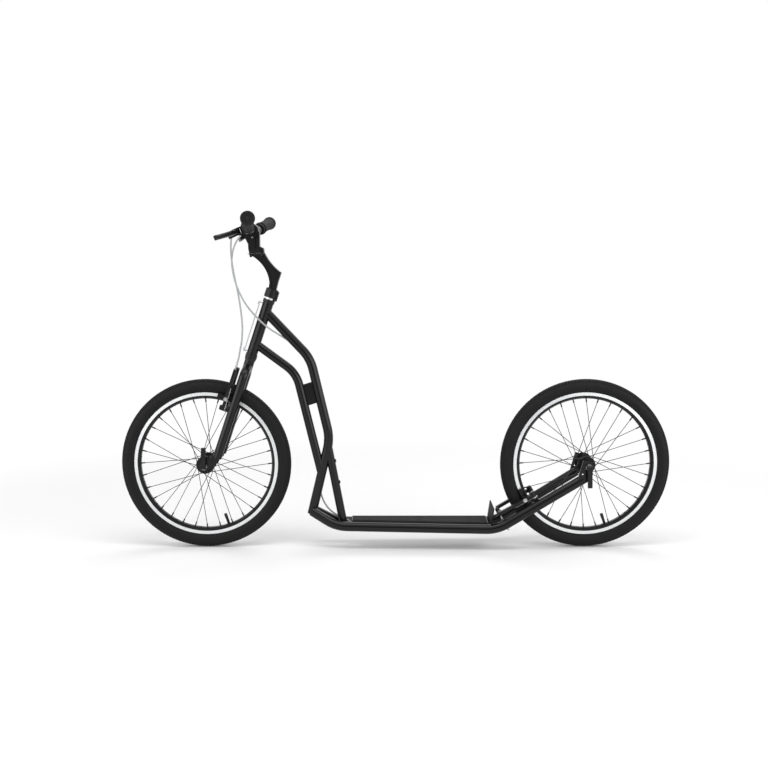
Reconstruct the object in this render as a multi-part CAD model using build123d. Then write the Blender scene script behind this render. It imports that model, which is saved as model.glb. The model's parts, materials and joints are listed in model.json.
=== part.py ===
from build123d import *
from math import cos, pi, radians, sin, sqrt, tan
import os

# Adult kick bike with two 20-inch wheels, in millimetres.
# X runs from the front wheel (minus) to the rear wheel (plus), Y to the rider's right, Z up.
# The origin lies on the ground, midway between the axles, in the bike's centre plane.

# Wheelbase and steering
WHEELBASE = 1100.0
HEAD_ANGLE = 18.4
FORK_OFFSET = 28.1

# Tyre and inner tube
TYRE_R = 246.4
TYRE_SECTION_R = 21.0
TYRE_WALL = 3.0
BEAD_HALF_GAP = 5.5
TREAD_GROOVE = 1.6
TREAD_SIDES = (-8.0, -3.0, 3.0, 8.0)
TUBE_WALL = 1.2
TUBE_CLEARANCE = 0.6

# Rim
RIM_FLANGE_R = 209.0
BEAD_SEAT_R = 203.0
RIM_WELL_R = 200.0
RIM_INNER_R = 190.0
RIM_HALF_WIDTH = 12.0
RIM_WALL = 1.6
BEAD_CLEARANCE = 0.3

# Spokes, nipples and valve
SPOKE_COUNT = 32
SPOKE_CROSSES = 3
SPOKE_R = 0.95
SPOKE_HEAD_R = 1.9
SPOKE_RIM_Y = 2.2
SPOKE_STANDOFF = 0.05
SPOKE_OUTER_STANDOFF = 2.0
NIPPLE_R = 2.0
NIPPLE_HEAD_R = 2.8
NIPPLE_LENGTH = 13.0
NIPPLE_CLEARANCE = 0.3
NIPPLE_SEAT = 0.9
VALVE_R = 4.0
VALVE_TIP_R = 160.0
VALVE_ANGLE = -71.0

# Hub, bearings and axle
HUB_BARREL_R = 13.0
HUB_FLANGE_R = 26.0
HUB_HOLE_PITCH_R = 22.0
HUB_FLANGE_Y = 31.0
HUB_FLANGE_THICK = 3.2
HUB_END_Y = 37.0
HUB_END_R = 15.0
BEARING_R = 11.0
BEARING_WIDTH = 7.0
AXLE_R = 5.0
AXLE_BORE_R = 2.8
AXLE_CLEARANCE = 0.05
CONE_R = 8.5
FRONT_OVER_NUT = 100.0
REAR_OVER_NUT = 135.0
SKEWER_R = 2.4
SKEWER_NUT_R = 9.0
SKEWER_NUT_LENGTH = 12.0
CAM_WASHER = 5.0
CAM_R = 7.0
CAM_LENGTH = 16.0
QUICK_LEVER_LENGTH = 54.0
QUICK_LEVER_TILT = 2.0

# Head tube and headset, as heights along the steering axis above the axle's foot
HEAD_TUBE_LOW = 345.0
HEAD_TUBE_HIGH = 500.0
HEAD_TUBE_R = 15.5
HEAD_TUBE_WALL = 1.5
STEERER_R = 12.7
STEERER_WALL = 1.7
CUP_R = 17.0
LOWER_CUP_HEIGHT = 13.0
UPPER_CUP_HEIGHT = 10.2
CUP_SKIRT = 10.0
BEARING_CLEARANCE = 0.08
RACE_HEIGHT = 5.0
RUNNING_GAP = 0.3
SPACER_R = 14.5
SPACER_HEIGHT = 5.5
PLATE_GAP = 8.0
PLATE_THICK = 1.2

# Fork
BLADE_R = 13.0
BLADE_WALL = 1.5
BLADE_CROWN_Y = 39.0
BLADE_BOSS_Y = 42.0
BLADE_END_Y = 50.0
BLADE_END_UP = 34.0
CROWN_UP = 322.0
SHOULDER_UP = 288.0
DROPOUT_THICK = 5.5
DROPOUT_R = 15.0
SLOT_CLEARANCE = 0.1

# Frame tubes: the centre line points are (x, z)
MAIN_TUBE_R = 13.5
MAIN_TUBE_WALL = 1.8
MAIN_TUBE_TOP = (-373.7, 687.4)
MAIN_TUBE_KNEE = (-246.6, 552.6)
MAIN_TUBE_WAIST = (-191.3, 318.9)
MAIN_TUBE_FOOT = (-244.5, 96.0)
MAIN_KNEE_RADIUS = 120.0
MAIN_WAIST_RADIUS = 137.0
LOWER_TUBE_R = 12.5
LOWER_TUBE_WALL = 1.6
LOWER_TUBE_TOP = (-404.3, 595.5)
LOWER_TUBE_KNEE = (-287.1, 508.7)
LOWER_TUBE_FOOT = (-215.9, 215.8)
LOWER_KNEE_RADIUS = 95.0
STRUT_R = 12.0
STRUT_WALL = 1.6
STRUT_TOP = (-195.3, 290.0)
STRUT_FOOT = (-152.5, 67.0)
CAGE_BOSS_R = 5.0
CAGE_BOSS_HEIGHT = 2.5
CAGE_THREAD_R = 2.5
CAGE_THREAD_LENGTH = 9.0
CAGE_PITCH = 64.0
CAGE_UPPER_DROP = 39.5
GUSSET_THICK = 3.0
GUSSET_CORNERS = [(-275.0, 474.0), (-238.0, 486.0), (-222.0, 425.0), (-260.0, 413.0)]

# Deck rails: the centre line points are (x, half spacing, z)
RAIL_R = 14.0
RAIL_WALL = 1.8
RAIL_NOSE = (-243.0, 15.0, 106.5)
RAIL_FRONT = (-173.0, 31.6, 65.9)
RAIL_HEEL = (293.3, 52.0, 61.3)
RAIL_TAIL = (536.0, 60.0, 210.5)
RAIL_FRONT_RADIUS = 115.0
RAIL_HEEL_RADIUS = 118.0

# Deck
DECK_START = -128.0
DECK_END = 268.0
DECK_EDGE_INSET = 4.0
DECK_THICK = 3.5
DECK_SEAT_GAP = 0.25
GRIP_THICK = 1.2
GRIP_MARGIN = 3.0
BRIDGE_R = 8.0
BRIDGE_PLACES = [-153.0, -75.0, 70.0, 215.0, 262.0]
SCREW_PLACES = [-75.0, 70.0, 215.0]
SCREW_SIDE = 14.0
SCREW_R = 2.5
SCREW_HEAD_R = 4.5
SCREW_HEAD = 1.8
HEEL_PLATE_X = 275.0
HEEL_PLATE_HEIGHT = 50.0
HEEL_PLATE_HALF_WIDTH = 60.0
HEEL_PLATE_THICK = 3.0
HEEL_PLATE_LEAN = 8.2

# Brakes, in the plane of the arms: distances from the axle along the arm
BRAKE_PIVOT_OUT = 176.0
BRAKE_PIVOT_SIDE = 40.0
BRAKE_PAD_OUT = 203.5
BRAKE_ARM_LENGTH = 112.0
BRAKE_ARM_THICK = 9.0
BRAKE_SLEEVE_R = 8.0
BRAKE_STUD_R = 4.0
BRAKE_STUD_CLEARANCE = 0.08
PAD_GAP = 1.6
PAD_LENGTH = 56.0
PAD_HEIGHT = 9.0
PAD_DEPTH = 9.0
PAD_POST_R = 3.0
NOODLE_R = 2.9
NOODLE_BORE_R = 1.7
NOODLE_BEND = 20.0
NOODLE_MOUTH = 12.0
NOODLE_INLET = 3.0
FRONT_NOODLE_SIDE = 47.0
REAR_NOODLE_SIDE = 33.0
BOOT_R = 6.4
BOOT_BORE_R = 5.5
BOOT_LENGTH = 26.0
REAR_BRAKE_ANGLE = 29.5

# Stem
STEM_HALF_WIDTH = 13.0
STEM_WEB_RECESS = 4.0
STEM_CLAMP_R = 18.5
STEM_CLAMP_HEIGHT = 25.0
CLAMP_BOLT_BACK = 17.8
CLAMP_BOLT_R = 2.0
CLAMP_HEAD_R = 3.5
CLAMP_EARS_BACK = 21.0
BAR_CENTRE = (-410.0, 917.0)
BAR_CLAMP_R = 20.0
BAR_CLAMP_HALF_WIDTH = 22.0

# Handlebar, grips and levers
BAR_R = 11.1
BAR_WALL = 2.0
BAR_BULGE_R = 12.7
BAR_HALF_LENGTH = 288.0
BAR_BEND_Y = 100.0
BAR_BEND_RADIUS = 60.0
BAR_RISE = 27.0
BAR_SWEEP = 22.0
GRIP_R = 16.6
GRIP_FLANGE_R = 18.8
GRIP_END_R = 19.6
GRIP_START = 160.0
GRIP_LENGTH = 132.0
GRIP_CLEARANCE = 0.05
LEVER_DROP_ANGLE = 22.5
LEVER_MOUNT_Y = 148.0
LEVER_MOUNT_WIDTH = 16.0
LEVER_MOUNT_R = 16.0
LEVER_PIVOT_REACH = 33.0
LEVER_TIP_REACH = 82.0
LEVER_TIP_Y = 262.0
LEVER_THICK = 13.0
ADJUSTER_REACH = 56.0
ADJUSTER_Y = 124.0
ADJUSTER_LENGTH = 14.0

# Cables
CABLE_R = 2.5
WIRE_R = 0.8
WIRE_CLEARANCE = 0.9
ADJUSTER_BORE_R = 1.4
CABLE_END_GAP = 0.3

TILT = radians(HEAD_ANGLE)
BACK = Vector(cos(TILT), 0, -sin(TILT))
UP = Vector(sin(TILT), 0, cos(TILT))
FRONT_AXLE = Vector(-WHEELBASE / 2, 0, TYRE_R)
REAR_AXLE = Vector(WHEELBASE / 2, 0, TYRE_R)
STEER_FOOT = FRONT_AXLE + BACK * FORK_OFFSET
SIDES = (-1, 1)
FRONT_NOODLE = (FRONT_NOODLE_SIDE, Vector(0, 1, 0))
REAR_NOODLE = (REAR_NOODLE_SIDE, Vector(0, 0, -1))


def steer(back, side, up):
    """Point given in the fork's own directions: behind, beside and along the steering axis."""
    return STEER_FOOT + BACK * back + Vector(0, side, 0) + UP * up


def rod(start, end, radius):
    """Round bar between two points."""
    start = Vector(*start)
    end = Vector(*end)
    run = end - start
    return Plane(origin=start, z_dir=run) * Cylinder(radius, run.length, align=(Align.CENTER, Align.CENTER, Align.MIN))


def ring(start, end, radius, bore):
    """Round bar with a bore right through it."""
    return rod(start, end, radius) - rod(start, end, bore)


def sweep_round(points, radii, radius):
    """Round bar along straight runs that are joined by arcs."""
    path = FilletPolyline(*points, radius=radii)
    start = Plane(origin=path @ 0, z_dir=path % 0)
    return sweep(start * Circle(radius), path=path)


def pipe(points, radii, radius, wall):
    """Tube along straight runs that are joined by arcs."""
    return sweep_round(points, radii, radius) - sweep_round(points, radii, radius - wall)


def in_plane(point, side=0.0):
    """Point of the bike's side view, moved sideways."""
    return Vector(point[0], side, point[1])


def side_slab(outline, half_width, plane=Plane.XZ):
    """Outline of the side view, given a thickness on both sides of the centre plane."""
    face = plane * make_face(Polyline(*outline, close=True))
    return extrude(face, half_width, both=True)


def group(pieces):
    """Several separate solids in one sub-part."""
    return Compound(children=[solid for piece in pieces for solid in piece.solids()])


def mirrored(piece):
    """The same piece on the other side of the bike."""
    return mirror(piece, about=Plane.XZ)


def cord_radii(points):
    """Bend radii of a cable, each as large as its two runs allow."""
    radii = []
    for before, corner, after in zip(points, points[1:], points[2:]):
        run_in = Vector(*corner) - Vector(*before)
        run_out = Vector(*after) - Vector(*corner)
        half_turn = radians(run_in.get_angle(run_out)) / 2
        radii.append(0.45 * min(run_in.length, run_out.length) / tan(half_turn))
    return radii


# Wheels

def wheel_ring(axle, outline):
    """Ring about an axle from an outline of (distance from the axle, side)."""
    face = Plane.YZ * make_face(Polyline(*[(side, out) for out, side in outline], close=True))
    return Pos(axle) * revolve(face, Axis.Y)


def tyre(axle):
    centre = TYRE_R - TYRE_SECTION_R
    bead_side = RIM_HALF_WIDTH - RIM_WALL - BEAD_CLEARANCE
    above_rim = RIM_FLANGE_R + BEAD_CLEARANCE
    section = Pos(0, centre) * Circle(TYRE_SECTION_R)
    section -= Pos(0, above_rim - TYRE_SECTION_R) * Rectangle(4 * TYRE_SECTION_R, 2 * TYRE_SECTION_R)
    bead_height = above_rim - BEAD_SEAT_R
    section += Pos(0, BEAD_SEAT_R + bead_height / 2 + BEAD_CLEARANCE) * Rectangle(2 * bead_side, bead_height)
    section -= Pos(0, centre) * Circle(TYRE_SECTION_R - TYRE_WALL)
    section -= Pos(0, BEAD_SEAT_R + bead_height / 2) * Rectangle(2 * BEAD_HALF_GAP, 2 * bead_height)
    for side in TREAD_SIDES:
        section -= Pos(side, TYRE_R) * Rectangle(TREAD_GROOVE, 2 * TREAD_GROOVE)
    return Pos(axle) * revolve(Plane.YZ * section, Axis.Y)


def inner_tube(axle, valve_angle):
    centre = TYRE_R - TYRE_SECTION_R
    outer = TYRE_SECTION_R - TYRE_WALL - TUBE_CLEARANCE
    section = Pos(0, centre) * Circle(outer)
    section -= Pos(0, centre) * Circle(outer - TUBE_WALL)
    body = Pos(axle) * revolve(Plane.YZ * section, Axis.Y)
    out = Vector(cos(radians(valve_angle)), 0, sin(radians(valve_angle)))
    root = axle + out * (centre - outer + TUBE_WALL / 2)
    return body + rod(root, axle + out * VALVE_TIP_R, VALVE_R)


def elbow_standoff(lead):
    """Distance of a spoke's centre line from the flange face at its elbow."""
    return SPOKE_R + (SPOKE_OUTER_STANDOFF if lead > 0 else SPOKE_STANDOFF)


def spoke_lines(axle):
    """Hub end, rim end and flange side of each spoke."""
    lines = []
    per_side = SPOKE_COUNT // 2
    step = 2 * pi / per_side
    for index in range(SPOKE_COUNT):
        side = 1 if index % 2 else -1
        hole = index // 2
        lead = 1 if hole % 2 else -1
        hub_angle = hole * step + (step / 2 if side > 0 else 0)
        rim_angle = hub_angle + lead * (SPOKE_CROSSES * step + step / 4 * side * lead)
        face = HUB_FLANGE_Y + lead * (HUB_FLANGE_THICK / 2 + elbow_standoff(lead))
        hub_end = axle + Vector(HUB_HOLE_PITCH_R * cos(hub_angle), side * face, HUB_HOLE_PITCH_R * sin(hub_angle))
        rim_out = RIM_INNER_R + RIM_WALL
        rim_end = axle + Vector(rim_out * cos(rim_angle), side * SPOKE_RIM_Y, rim_out * sin(rim_angle))
        lines.append((hub_end, rim_end, side, lead))
    return lines


def spokes(axle):
    pieces = []
    for hub_end, rim_end, side, lead in spoke_lines(axle):
        along = (rim_end - hub_end).normalized()
        through = Vector(0, -side * lead, 0)
        head_start = hub_end + through * (HUB_FLANGE_THICK + elbow_standoff(lead) + SPOKE_STANDOFF)
        spoke = rod(hub_end, rim_end + along, SPOKE_R)
        spoke += rod(hub_end, head_start, SPOKE_R)
        spoke += rod(head_start, head_start + through * 1.2, SPOKE_HEAD_R)
        spoke += Pos(hub_end) * Sphere(SPOKE_R)
        nipple = rod(rim_end - along * NIPPLE_LENGTH, rim_end + along, NIPPLE_R)
        nipple += rod(rim_end + along * NIPPLE_SEAT, rim_end + along * 3, NIPPLE_HEAD_R)
        nipple -= rod(rim_end - along * (NIPPLE_LENGTH + 1), rim_end + along * 4, SPOKE_R + 0.02)
        pieces += [spoke, nipple]
    return group(pieces)


def rim(axle, valve_angle):
    flange_inside = RIM_HALF_WIDTH - RIM_WALL
    half = [
        (RIM_FLANGE_R, RIM_HALF_WIDTH), (RIM_INNER_R + 4, RIM_HALF_WIDTH), (RIM_INNER_R, RIM_HALF_WIDTH - 6),
    ]
    well = [(RIM_WELL_R, BEAD_HALF_GAP + 1), (BEAD_SEAT_R, BEAD_HALF_GAP + 2), (BEAD_SEAT_R, flange_inside),
            (RIM_FLANGE_R, flange_inside)]
    right = well + half
    outline = right + [(out, -side) for out, side in reversed(right)]
    floor = RIM_WELL_R - RIM_WALL
    inside = [(floor, BEAD_HALF_GAP), (floor, flange_inside), (RIM_INNER_R + 4, flange_inside),
              (RIM_INNER_R + RIM_WALL, RIM_HALF_WIDTH - 6.5)]
    cavity = inside + [(out, -side) for out, side in reversed(inside)]
    shape = wheel_ring(axle, outline) - wheel_ring(axle, cavity)
    for hub_end, rim_end, side, lead in spoke_lines(axle):
        along = (rim_end - hub_end).normalized()
        shape -= rod(rim_end - along * 6, rim_end + along * 0.6, NIPPLE_R + NIPPLE_CLEARANCE)
    out = Vector(cos(radians(valve_angle)), 0, sin(radians(valve_angle)))
    shape -= rod(axle + out * (RIM_INNER_R - 6), axle + out * (RIM_FLANGE_R + 1), VALVE_R + NIPPLE_CLEARANCE)
    return shape


def hub(axle):
    inner = HUB_FLANGE_Y - HUB_FLANGE_THICK / 2
    outer = HUB_FLANGE_Y + HUB_FLANGE_THICK / 2
    bore = AXLE_R + 1.0
    seat = HUB_END_Y - BEARING_WIDTH
    half = [
        (bore, seat), (BEARING_R, seat), (BEARING_R, HUB_END_Y), (HUB_END_R, HUB_END_Y), (HUB_END_R, outer),
        (HUB_FLANGE_R, outer), (HUB_FLANGE_R, inner), (HUB_BARREL_R + 3, inner), (HUB_BARREL_R, inner - 6),
    ]
    outline = half + [(out, -side) for out, side in reversed(half)]
    shape = wheel_ring(axle, outline)
    for hub_end, rim_end, side, lead in spoke_lines(axle):
        centre = Vector(hub_end.X, side * HUB_FLANGE_Y, hub_end.Z)
        through = Vector(0, HUB_FLANGE_THICK, 0)
        shape -= rod(centre - through, centre + through, SPOKE_R + 0.1)
    return shape


def hub_bearings(axle):
    pieces = []
    for side in SIDES:
        start = axle + Vector(0, side * (HUB_END_Y - BEARING_WIDTH + 0.02), 0)
        end = axle + Vector(0, side * HUB_END_Y, 0)
        pieces.append(ring(start, end, BEARING_R - 0.02, AXLE_R + AXLE_CLEARANCE))
    return group(pieces)


def axle_set(axle, over_nut, dropout_thick):
    """Hollow axle, its two cones, the skewer, its nut and the cam washer."""
    inside = over_nut / 2
    outside = inside + dropout_thick
    across = Vector(0, 1, 0)
    tip = outside - 0.5
    pieces = [ring(axle - across * tip, axle + across * tip, AXLE_R, AXLE_BORE_R)]
    for side in SIDES:
        start = axle + across * side * (HUB_END_Y + RUNNING_GAP)
        pieces.append(ring(start, axle + across * side * (inside - 0.02), CONE_R, AXLE_R + 0.02))
    nut_end = outside + SKEWER_NUT_LENGTH
    washer_end = outside + CAM_WASHER
    pieces.append(rod(axle - across * (washer_end - 0.5), axle + across * (nut_end - 2), SKEWER_R))
    nut = rod(axle + across * (outside + 0.02), axle + across * nut_end, SKEWER_NUT_R)
    nut -= rod(axle + across * outside, axle + across * (nut_end - 1.9), SKEWER_R + 0.02)
    pieces.append(nut)
    pieces.append(ring(axle - across * (outside + 0.02), axle - across * washer_end, SKEWER_NUT_R + 1, SKEWER_R + 0.02))
    return group(pieces)


def quick_lever(axle, over_nut, dropout_thick, direction):
    """Cam and blade of a quick release, closed along the given direction on the rider's left."""
    washer_face = over_nut / 2 + dropout_thick + CAM_WASHER
    centre = axle - Vector(0, washer_face + CAM_R + RUNNING_GAP, 0)
    cross = Vector(0, 1, 0).cross(direction).normalized()
    cam = rod(centre - cross * CAM_LENGTH / 2, centre + cross * CAM_LENGTH / 2, CAM_R)
    blade_plane = Plane(origin=centre, x_dir=direction, z_dir=cross)
    side = -1 if blade_plane.y_dir.Y > 0 else 1
    near = side * 2.0
    far = side * 6.5
    outline = [
        (2, near - side * 5), (24, near), (QUICK_LEVER_LENGTH, near - side * 2), (QUICK_LEVER_LENGTH + 3, far - side * 3),
        (QUICK_LEVER_LENGTH - 3, far), (20, far + side * 1.5), (4, far),
    ]
    blade = blade_plane * extrude(make_face(Polyline(*outline, close=True)), CAM_LENGTH / 2 - 1.5, both=True)
    return cam + blade


# Headset and fork

def headset_cups():
    lower = ring(steer(0, 0, HEAD_TUBE_LOW - LOWER_CUP_HEIGHT), steer(0, 0, HEAD_TUBE_LOW), CUP_R, STEERER_R + BEARING_CLEARANCE)
    upper = ring(steer(0, 0, HEAD_TUBE_HIGH), steer(0, 0, HEAD_TUBE_HIGH + UPPER_CUP_HEIGHT), CUP_R,
                 STEERER_R + BEARING_CLEARANCE)
    skirt_r = HEAD_TUBE_R - HEAD_TUBE_WALL - 0.02
    lower += ring(steer(0, 0, HEAD_TUBE_LOW), steer(0, 0, HEAD_TUBE_LOW + CUP_SKIRT), skirt_r, STEERER_R + RUNNING_GAP)
    upper += ring(steer(0, 0, HEAD_TUBE_HIGH - CUP_SKIRT), steer(0, 0, HEAD_TUBE_HIGH), skirt_r, STEERER_R + RUNNING_GAP)
    return group([lower, upper])


def headset_races():
    top = HEAD_TUBE_LOW - LOWER_CUP_HEIGHT - RUNNING_GAP
    lower = ring(steer(0, 0, top - RACE_HEIGHT), steer(0, 0, top), CUP_R - 1, STEERER_R + 0.02)
    return group([lower])


def spacer_bottom():
    return HEAD_TUBE_HIGH + UPPER_CUP_HEIGHT + RUNNING_GAP


def headset_spacer():
    low = spacer_bottom()
    return ring(steer(0, 0, low), steer(0, 0, low + SPACER_HEIGHT), SPACER_R, STEERER_R + 0.02)


def clamp_bottom():
    return spacer_bottom() + SPACER_HEIGHT + 0.02


def steerer_tube():
    top = clamp_bottom() + STEM_CLAMP_HEIGHT - 1.0
    return ring(steer(0, 0, CROWN_UP - 18), steer(0, 0, top), STEERER_R, STEERER_R - STEERER_WALL)


def blade_points(side):
    return [
        steer(0, side * 6.0, CROWN_UP - 16),
        steer(0, side * BLADE_CROWN_Y, SHOULDER_UP),
        steer(0, side * BLADE_BOSS_Y, BRAKE_PIVOT_OUT),
        steer(0, side * BLADE_END_Y, BLADE_END_UP),
    ]


def blade_solid(side):
    return sweep_round(blade_points(side), [26.0, 400.0], BLADE_R)


def fork_crown_ring():
    bottom = HEAD_TUBE_LOW - LOWER_CUP_HEIGHT - RUNNING_GAP - RACE_HEIGHT - 0.02
    return rod(steer(0, 0, CROWN_UP - 20), steer(0, 0, bottom), BLADE_R + 1.5)


def fork_blades():
    left = blade_solid(-1) - sweep_round(blade_points(-1), [26.0, 400.0], BLADE_R - BLADE_WALL)
    steerer = rod(steer(0, 0, CROWN_UP - 18), steer(0, 0, HEAD_TUBE_HIGH), STEERER_R + 0.02)
    crown = fork_crown_ring() - steerer
    left -= steerer
    both = left + mirrored(left) + crown
    return both - rod(steer(0, 0, CROWN_UP - 18), steer(0, 0, HEAD_TUBE_LOW), STEERER_R + 0.02)


def fork_dropouts():
    """Slotted plates that hold the front axle ahead of the blades."""
    pieces = []
    for side in SIDES:
        middle = side * (FRONT_OVER_NUT + DROPOUT_THICK) / 2
        start = middle - DROPOUT_THICK / 2
        disc = rod(FRONT_AXLE + Vector(0, start, 0), FRONT_AXLE + Vector(0, start + DROPOUT_THICK, 0), DROPOUT_R)
        plane = Plane(origin=STEER_FOOT + Vector(0, middle, 0), x_dir=BACK, z_dir=(0, -1, 0))
        outline = [(-FORK_OFFSET - 9, 12), (-FORK_OFFSET + 8, -12), (8, 24), (9, BLADE_END_UP + 8), (-9, BLADE_END_UP + 8)]
        web = side_slab(outline, DROPOUT_THICK / 2, plane)
        plate = disc + web
        slot_top = FRONT_AXLE + Vector(0, middle, 0)
        slot_r = AXLE_R + SLOT_CLEARANCE
        plate -= rod(slot_top - Vector(0, DROPOUT_THICK, 0), slot_top + Vector(0, DROPOUT_THICK, 0), slot_r)
        opening = Pos(slot_top - Vector(0, 0, DROPOUT_R)) * Box(2 * slot_r, 2 * DROPOUT_THICK, 2 * DROPOUT_R)
        plate -= opening
        plate -= sweep_round(blade_points(side), [26.0, 400.0], BLADE_R)
        pieces.append(max(plate.solids(), key=lambda solid: solid.volume))
    return group(pieces)


# Frame

def head_tube():
    return ring(steer(0, 0, HEAD_TUBE_LOW), steer(0, 0, HEAD_TUBE_HIGH), HEAD_TUBE_R, HEAD_TUBE_R - HEAD_TUBE_WALL)


def head_tube_solid():
    return rod(steer(0, 0, HEAD_TUBE_LOW), steer(0, 0, HEAD_TUBE_HIGH), HEAD_TUBE_R)


def main_path():
    return [in_plane(point) for point in (MAIN_TUBE_TOP, MAIN_TUBE_KNEE, MAIN_TUBE_WAIST, MAIN_TUBE_FOOT)]


def main_tube_solid():
    return sweep_round(main_path(), [MAIN_KNEE_RADIUS, MAIN_WAIST_RADIUS], MAIN_TUBE_R)


def main_tube():
    tube = pipe(main_path(), [MAIN_KNEE_RADIUS, MAIN_WAIST_RADIUS], MAIN_TUBE_R, MAIN_TUBE_WALL)
    return tube - head_tube_solid()


def lower_path():
    return [in_plane(point) for point in (LOWER_TUBE_TOP, LOWER_TUBE_KNEE, LOWER_TUBE_FOOT)]


def lower_tube_solid():
    return sweep_round(lower_path(), [LOWER_KNEE_RADIUS], LOWER_TUBE_R)


def lower_tube():
    tube = pipe(lower_path(), [LOWER_KNEE_RADIUS], LOWER_TUBE_R, LOWER_TUBE_WALL)
    tube = tube - head_tube_solid() - main_tube_solid()
    return max(tube.solids(), key=lambda solid: solid.volume)


def cage_boss_points():
    """Outer faces of the two bottle-cage bosses on the strut's rear side."""
    top = in_plane(STRUT_TOP)
    along = (in_plane(STRUT_FOOT) - top).normalized()
    outward = Vector(0, 1, 0).cross(along)
    if outward.X < 0:
        outward = outward * -1
    return [(top + along * drop, outward) for drop in (CAGE_UPPER_DROP, CAGE_UPPER_DROP + CAGE_PITCH)]


def deck_strut():
    tube = ring(in_plane(STRUT_TOP), in_plane(STRUT_FOOT), STRUT_R, STRUT_R - STRUT_WALL)
    for centre, outward in cage_boss_points():
        face = STRUT_R + CAGE_BOSS_HEIGHT
        tube += rod(centre + outward * (face - CAGE_THREAD_LENGTH), centre + outward * face, CAGE_BOSS_R)
        tube -= rod(centre + outward * (face - CAGE_THREAD_LENGTH - 1), centre + outward * (face + 1), CAGE_THREAD_R)
    tube = tube - main_tube_solid() - bridge_solid(BRIDGE_PLACES[0])
    return max(tube.solids(), key=lambda solid: solid.volume)


def gusset_plate():
    plate = side_slab(GUSSET_CORNERS, GUSSET_THICK / 2)
    plate = plate - main_tube_solid() - lower_tube_solid()
    return max(plate.solids(), key=lambda solid: solid.volume)


def rail_points(side):
    return [Vector(x, side * half, z) for x, half, z in (RAIL_NOSE, RAIL_FRONT, RAIL_HEEL, RAIL_TAIL)]


def rail_solid(side):
    return sweep_round(rail_points(side), [RAIL_FRONT_RADIUS, RAIL_HEEL_RADIUS], RAIL_R)


def rail_at(x):
    """Half spacing and height of the rails' centre lines under the deck."""
    share = (x - RAIL_FRONT[0]) / (RAIL_HEEL[0] - RAIL_FRONT[0])
    half = RAIL_FRONT[1] + share * (RAIL_HEEL[1] - RAIL_FRONT[1])
    height = RAIL_FRONT[2] + share * (RAIL_HEEL[2] - RAIL_FRONT[2])
    return half, height


def side_rail(side):
    tube = pipe(rail_points(side), [RAIL_FRONT_RADIUS, RAIL_HEEL_RADIUS], RAIL_R, RAIL_WALL)
    tube -= main_tube_solid()
    return max(tube.solids(), key=lambda solid: solid.volume)


def bridge_solid(place):
    half, height = rail_at(place)
    return rod((place, -half, height), (place, half, height), BRIDGE_R)


def rail_bridges():
    rails = rail_solid(-1) + rail_solid(1)
    bores = [screw_line(place, side) for place in SCREW_PLACES for side in SIDES]
    pieces = []
    for place in BRIDGE_PLACES:
        bridge = bridge_solid(place) - rails
        for top, bottom in bores:
            bridge -= rod(top, bottom, SCREW_R + 0.02)
        pieces.append(max(bridge.solids(), key=lambda solid: solid.volume))
    return group(pieces)


def deck_plane():
    """Underside of the deck plate, which rests on the inner shoulders of the rails."""
    front_height = rail_at(DECK_START)[1]
    slope = (RAIL_HEEL[2] - RAIL_FRONT[2]) / (RAIL_HEEL[0] - RAIL_FRONT[0])
    lift = sqrt(RAIL_R ** 2 - DECK_EDGE_INSET ** 2) + DECK_SEAT_GAP
    direction = Vector(1, 0, slope).normalized()
    return Plane(origin=(DECK_START, 0, front_height + lift), x_dir=direction, z_dir=Vector(0, 1, 0).cross(direction) * -1)


def deck_outline(margin):
    """Tapered outline of the deck, pulled in by a margin."""
    front = rail_at(DECK_START)[0] - DECK_EDGE_INSET - margin
    rear = rail_at(DECK_END)[0] - DECK_EDGE_INSET - margin
    length = DECK_END - DECK_START
    return [(margin, -front), (length - margin, -rear), (length - margin, rear), (margin, front)]


def screw_line(place, side):
    """Head and tip of a deck screw."""
    plane = deck_plane()
    head = plane.from_local_coords((place - DECK_START, side * SCREW_SIDE, DECK_THICK))
    tip = plane.from_local_coords((place - DECK_START, side * SCREW_SIDE, -13.0))
    return head, tip


def deck_plate():
    plate = deck_plane() * extrude(make_face(Polyline(*deck_outline(0), close=True)), DECK_THICK)
    for place in SCREW_PLACES:
        for side in SIDES:
            head, tip = screw_line(place, side)
            plate -= rod(head + (head - tip), tip, SCREW_R + 0.02)
    return plate


def deck_grip():
    sheet = extrude(make_face(Polyline(*deck_outline(GRIP_MARGIN), close=True)), GRIP_THICK)
    grip = deck_plane() * (Pos(0, 0, DECK_THICK + 0.02) * sheet)
    for place in SCREW_PLACES:
        for side in SIDES:
            head, tip = screw_line(place, side)
            grip -= rod(head + (head - tip), tip, SCREW_HEAD_R + 0.4)
    return grip


def deck_screws():
    pieces = []
    for place in SCREW_PLACES:
        for side in SIDES:
            head, tip = screw_line(place, side)
            up = (head - tip).normalized()
            pieces.append(rod(head + up * 0.02, head + up * SCREW_HEAD, SCREW_HEAD_R) + rod(tip, head + up, SCREW_R))
    return group(pieces)


def heel_plate():
    height = rail_at(HEEL_PLATE_X)[1]
    plate = Pos(0, 0, HEEL_PLATE_HEIGHT / 2) * Box(HEEL_PLATE_THICK, 2 * HEEL_PLATE_HALF_WIDTH, HEEL_PLATE_HEIGHT)
    plate = Pos(HEEL_PLATE_X, 0, height + RAIL_R - 2) * (Rot(0, HEEL_PLATE_LEAN, 0) * plate)
    return plate - rail_solid(-1) - rail_solid(1)


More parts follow.
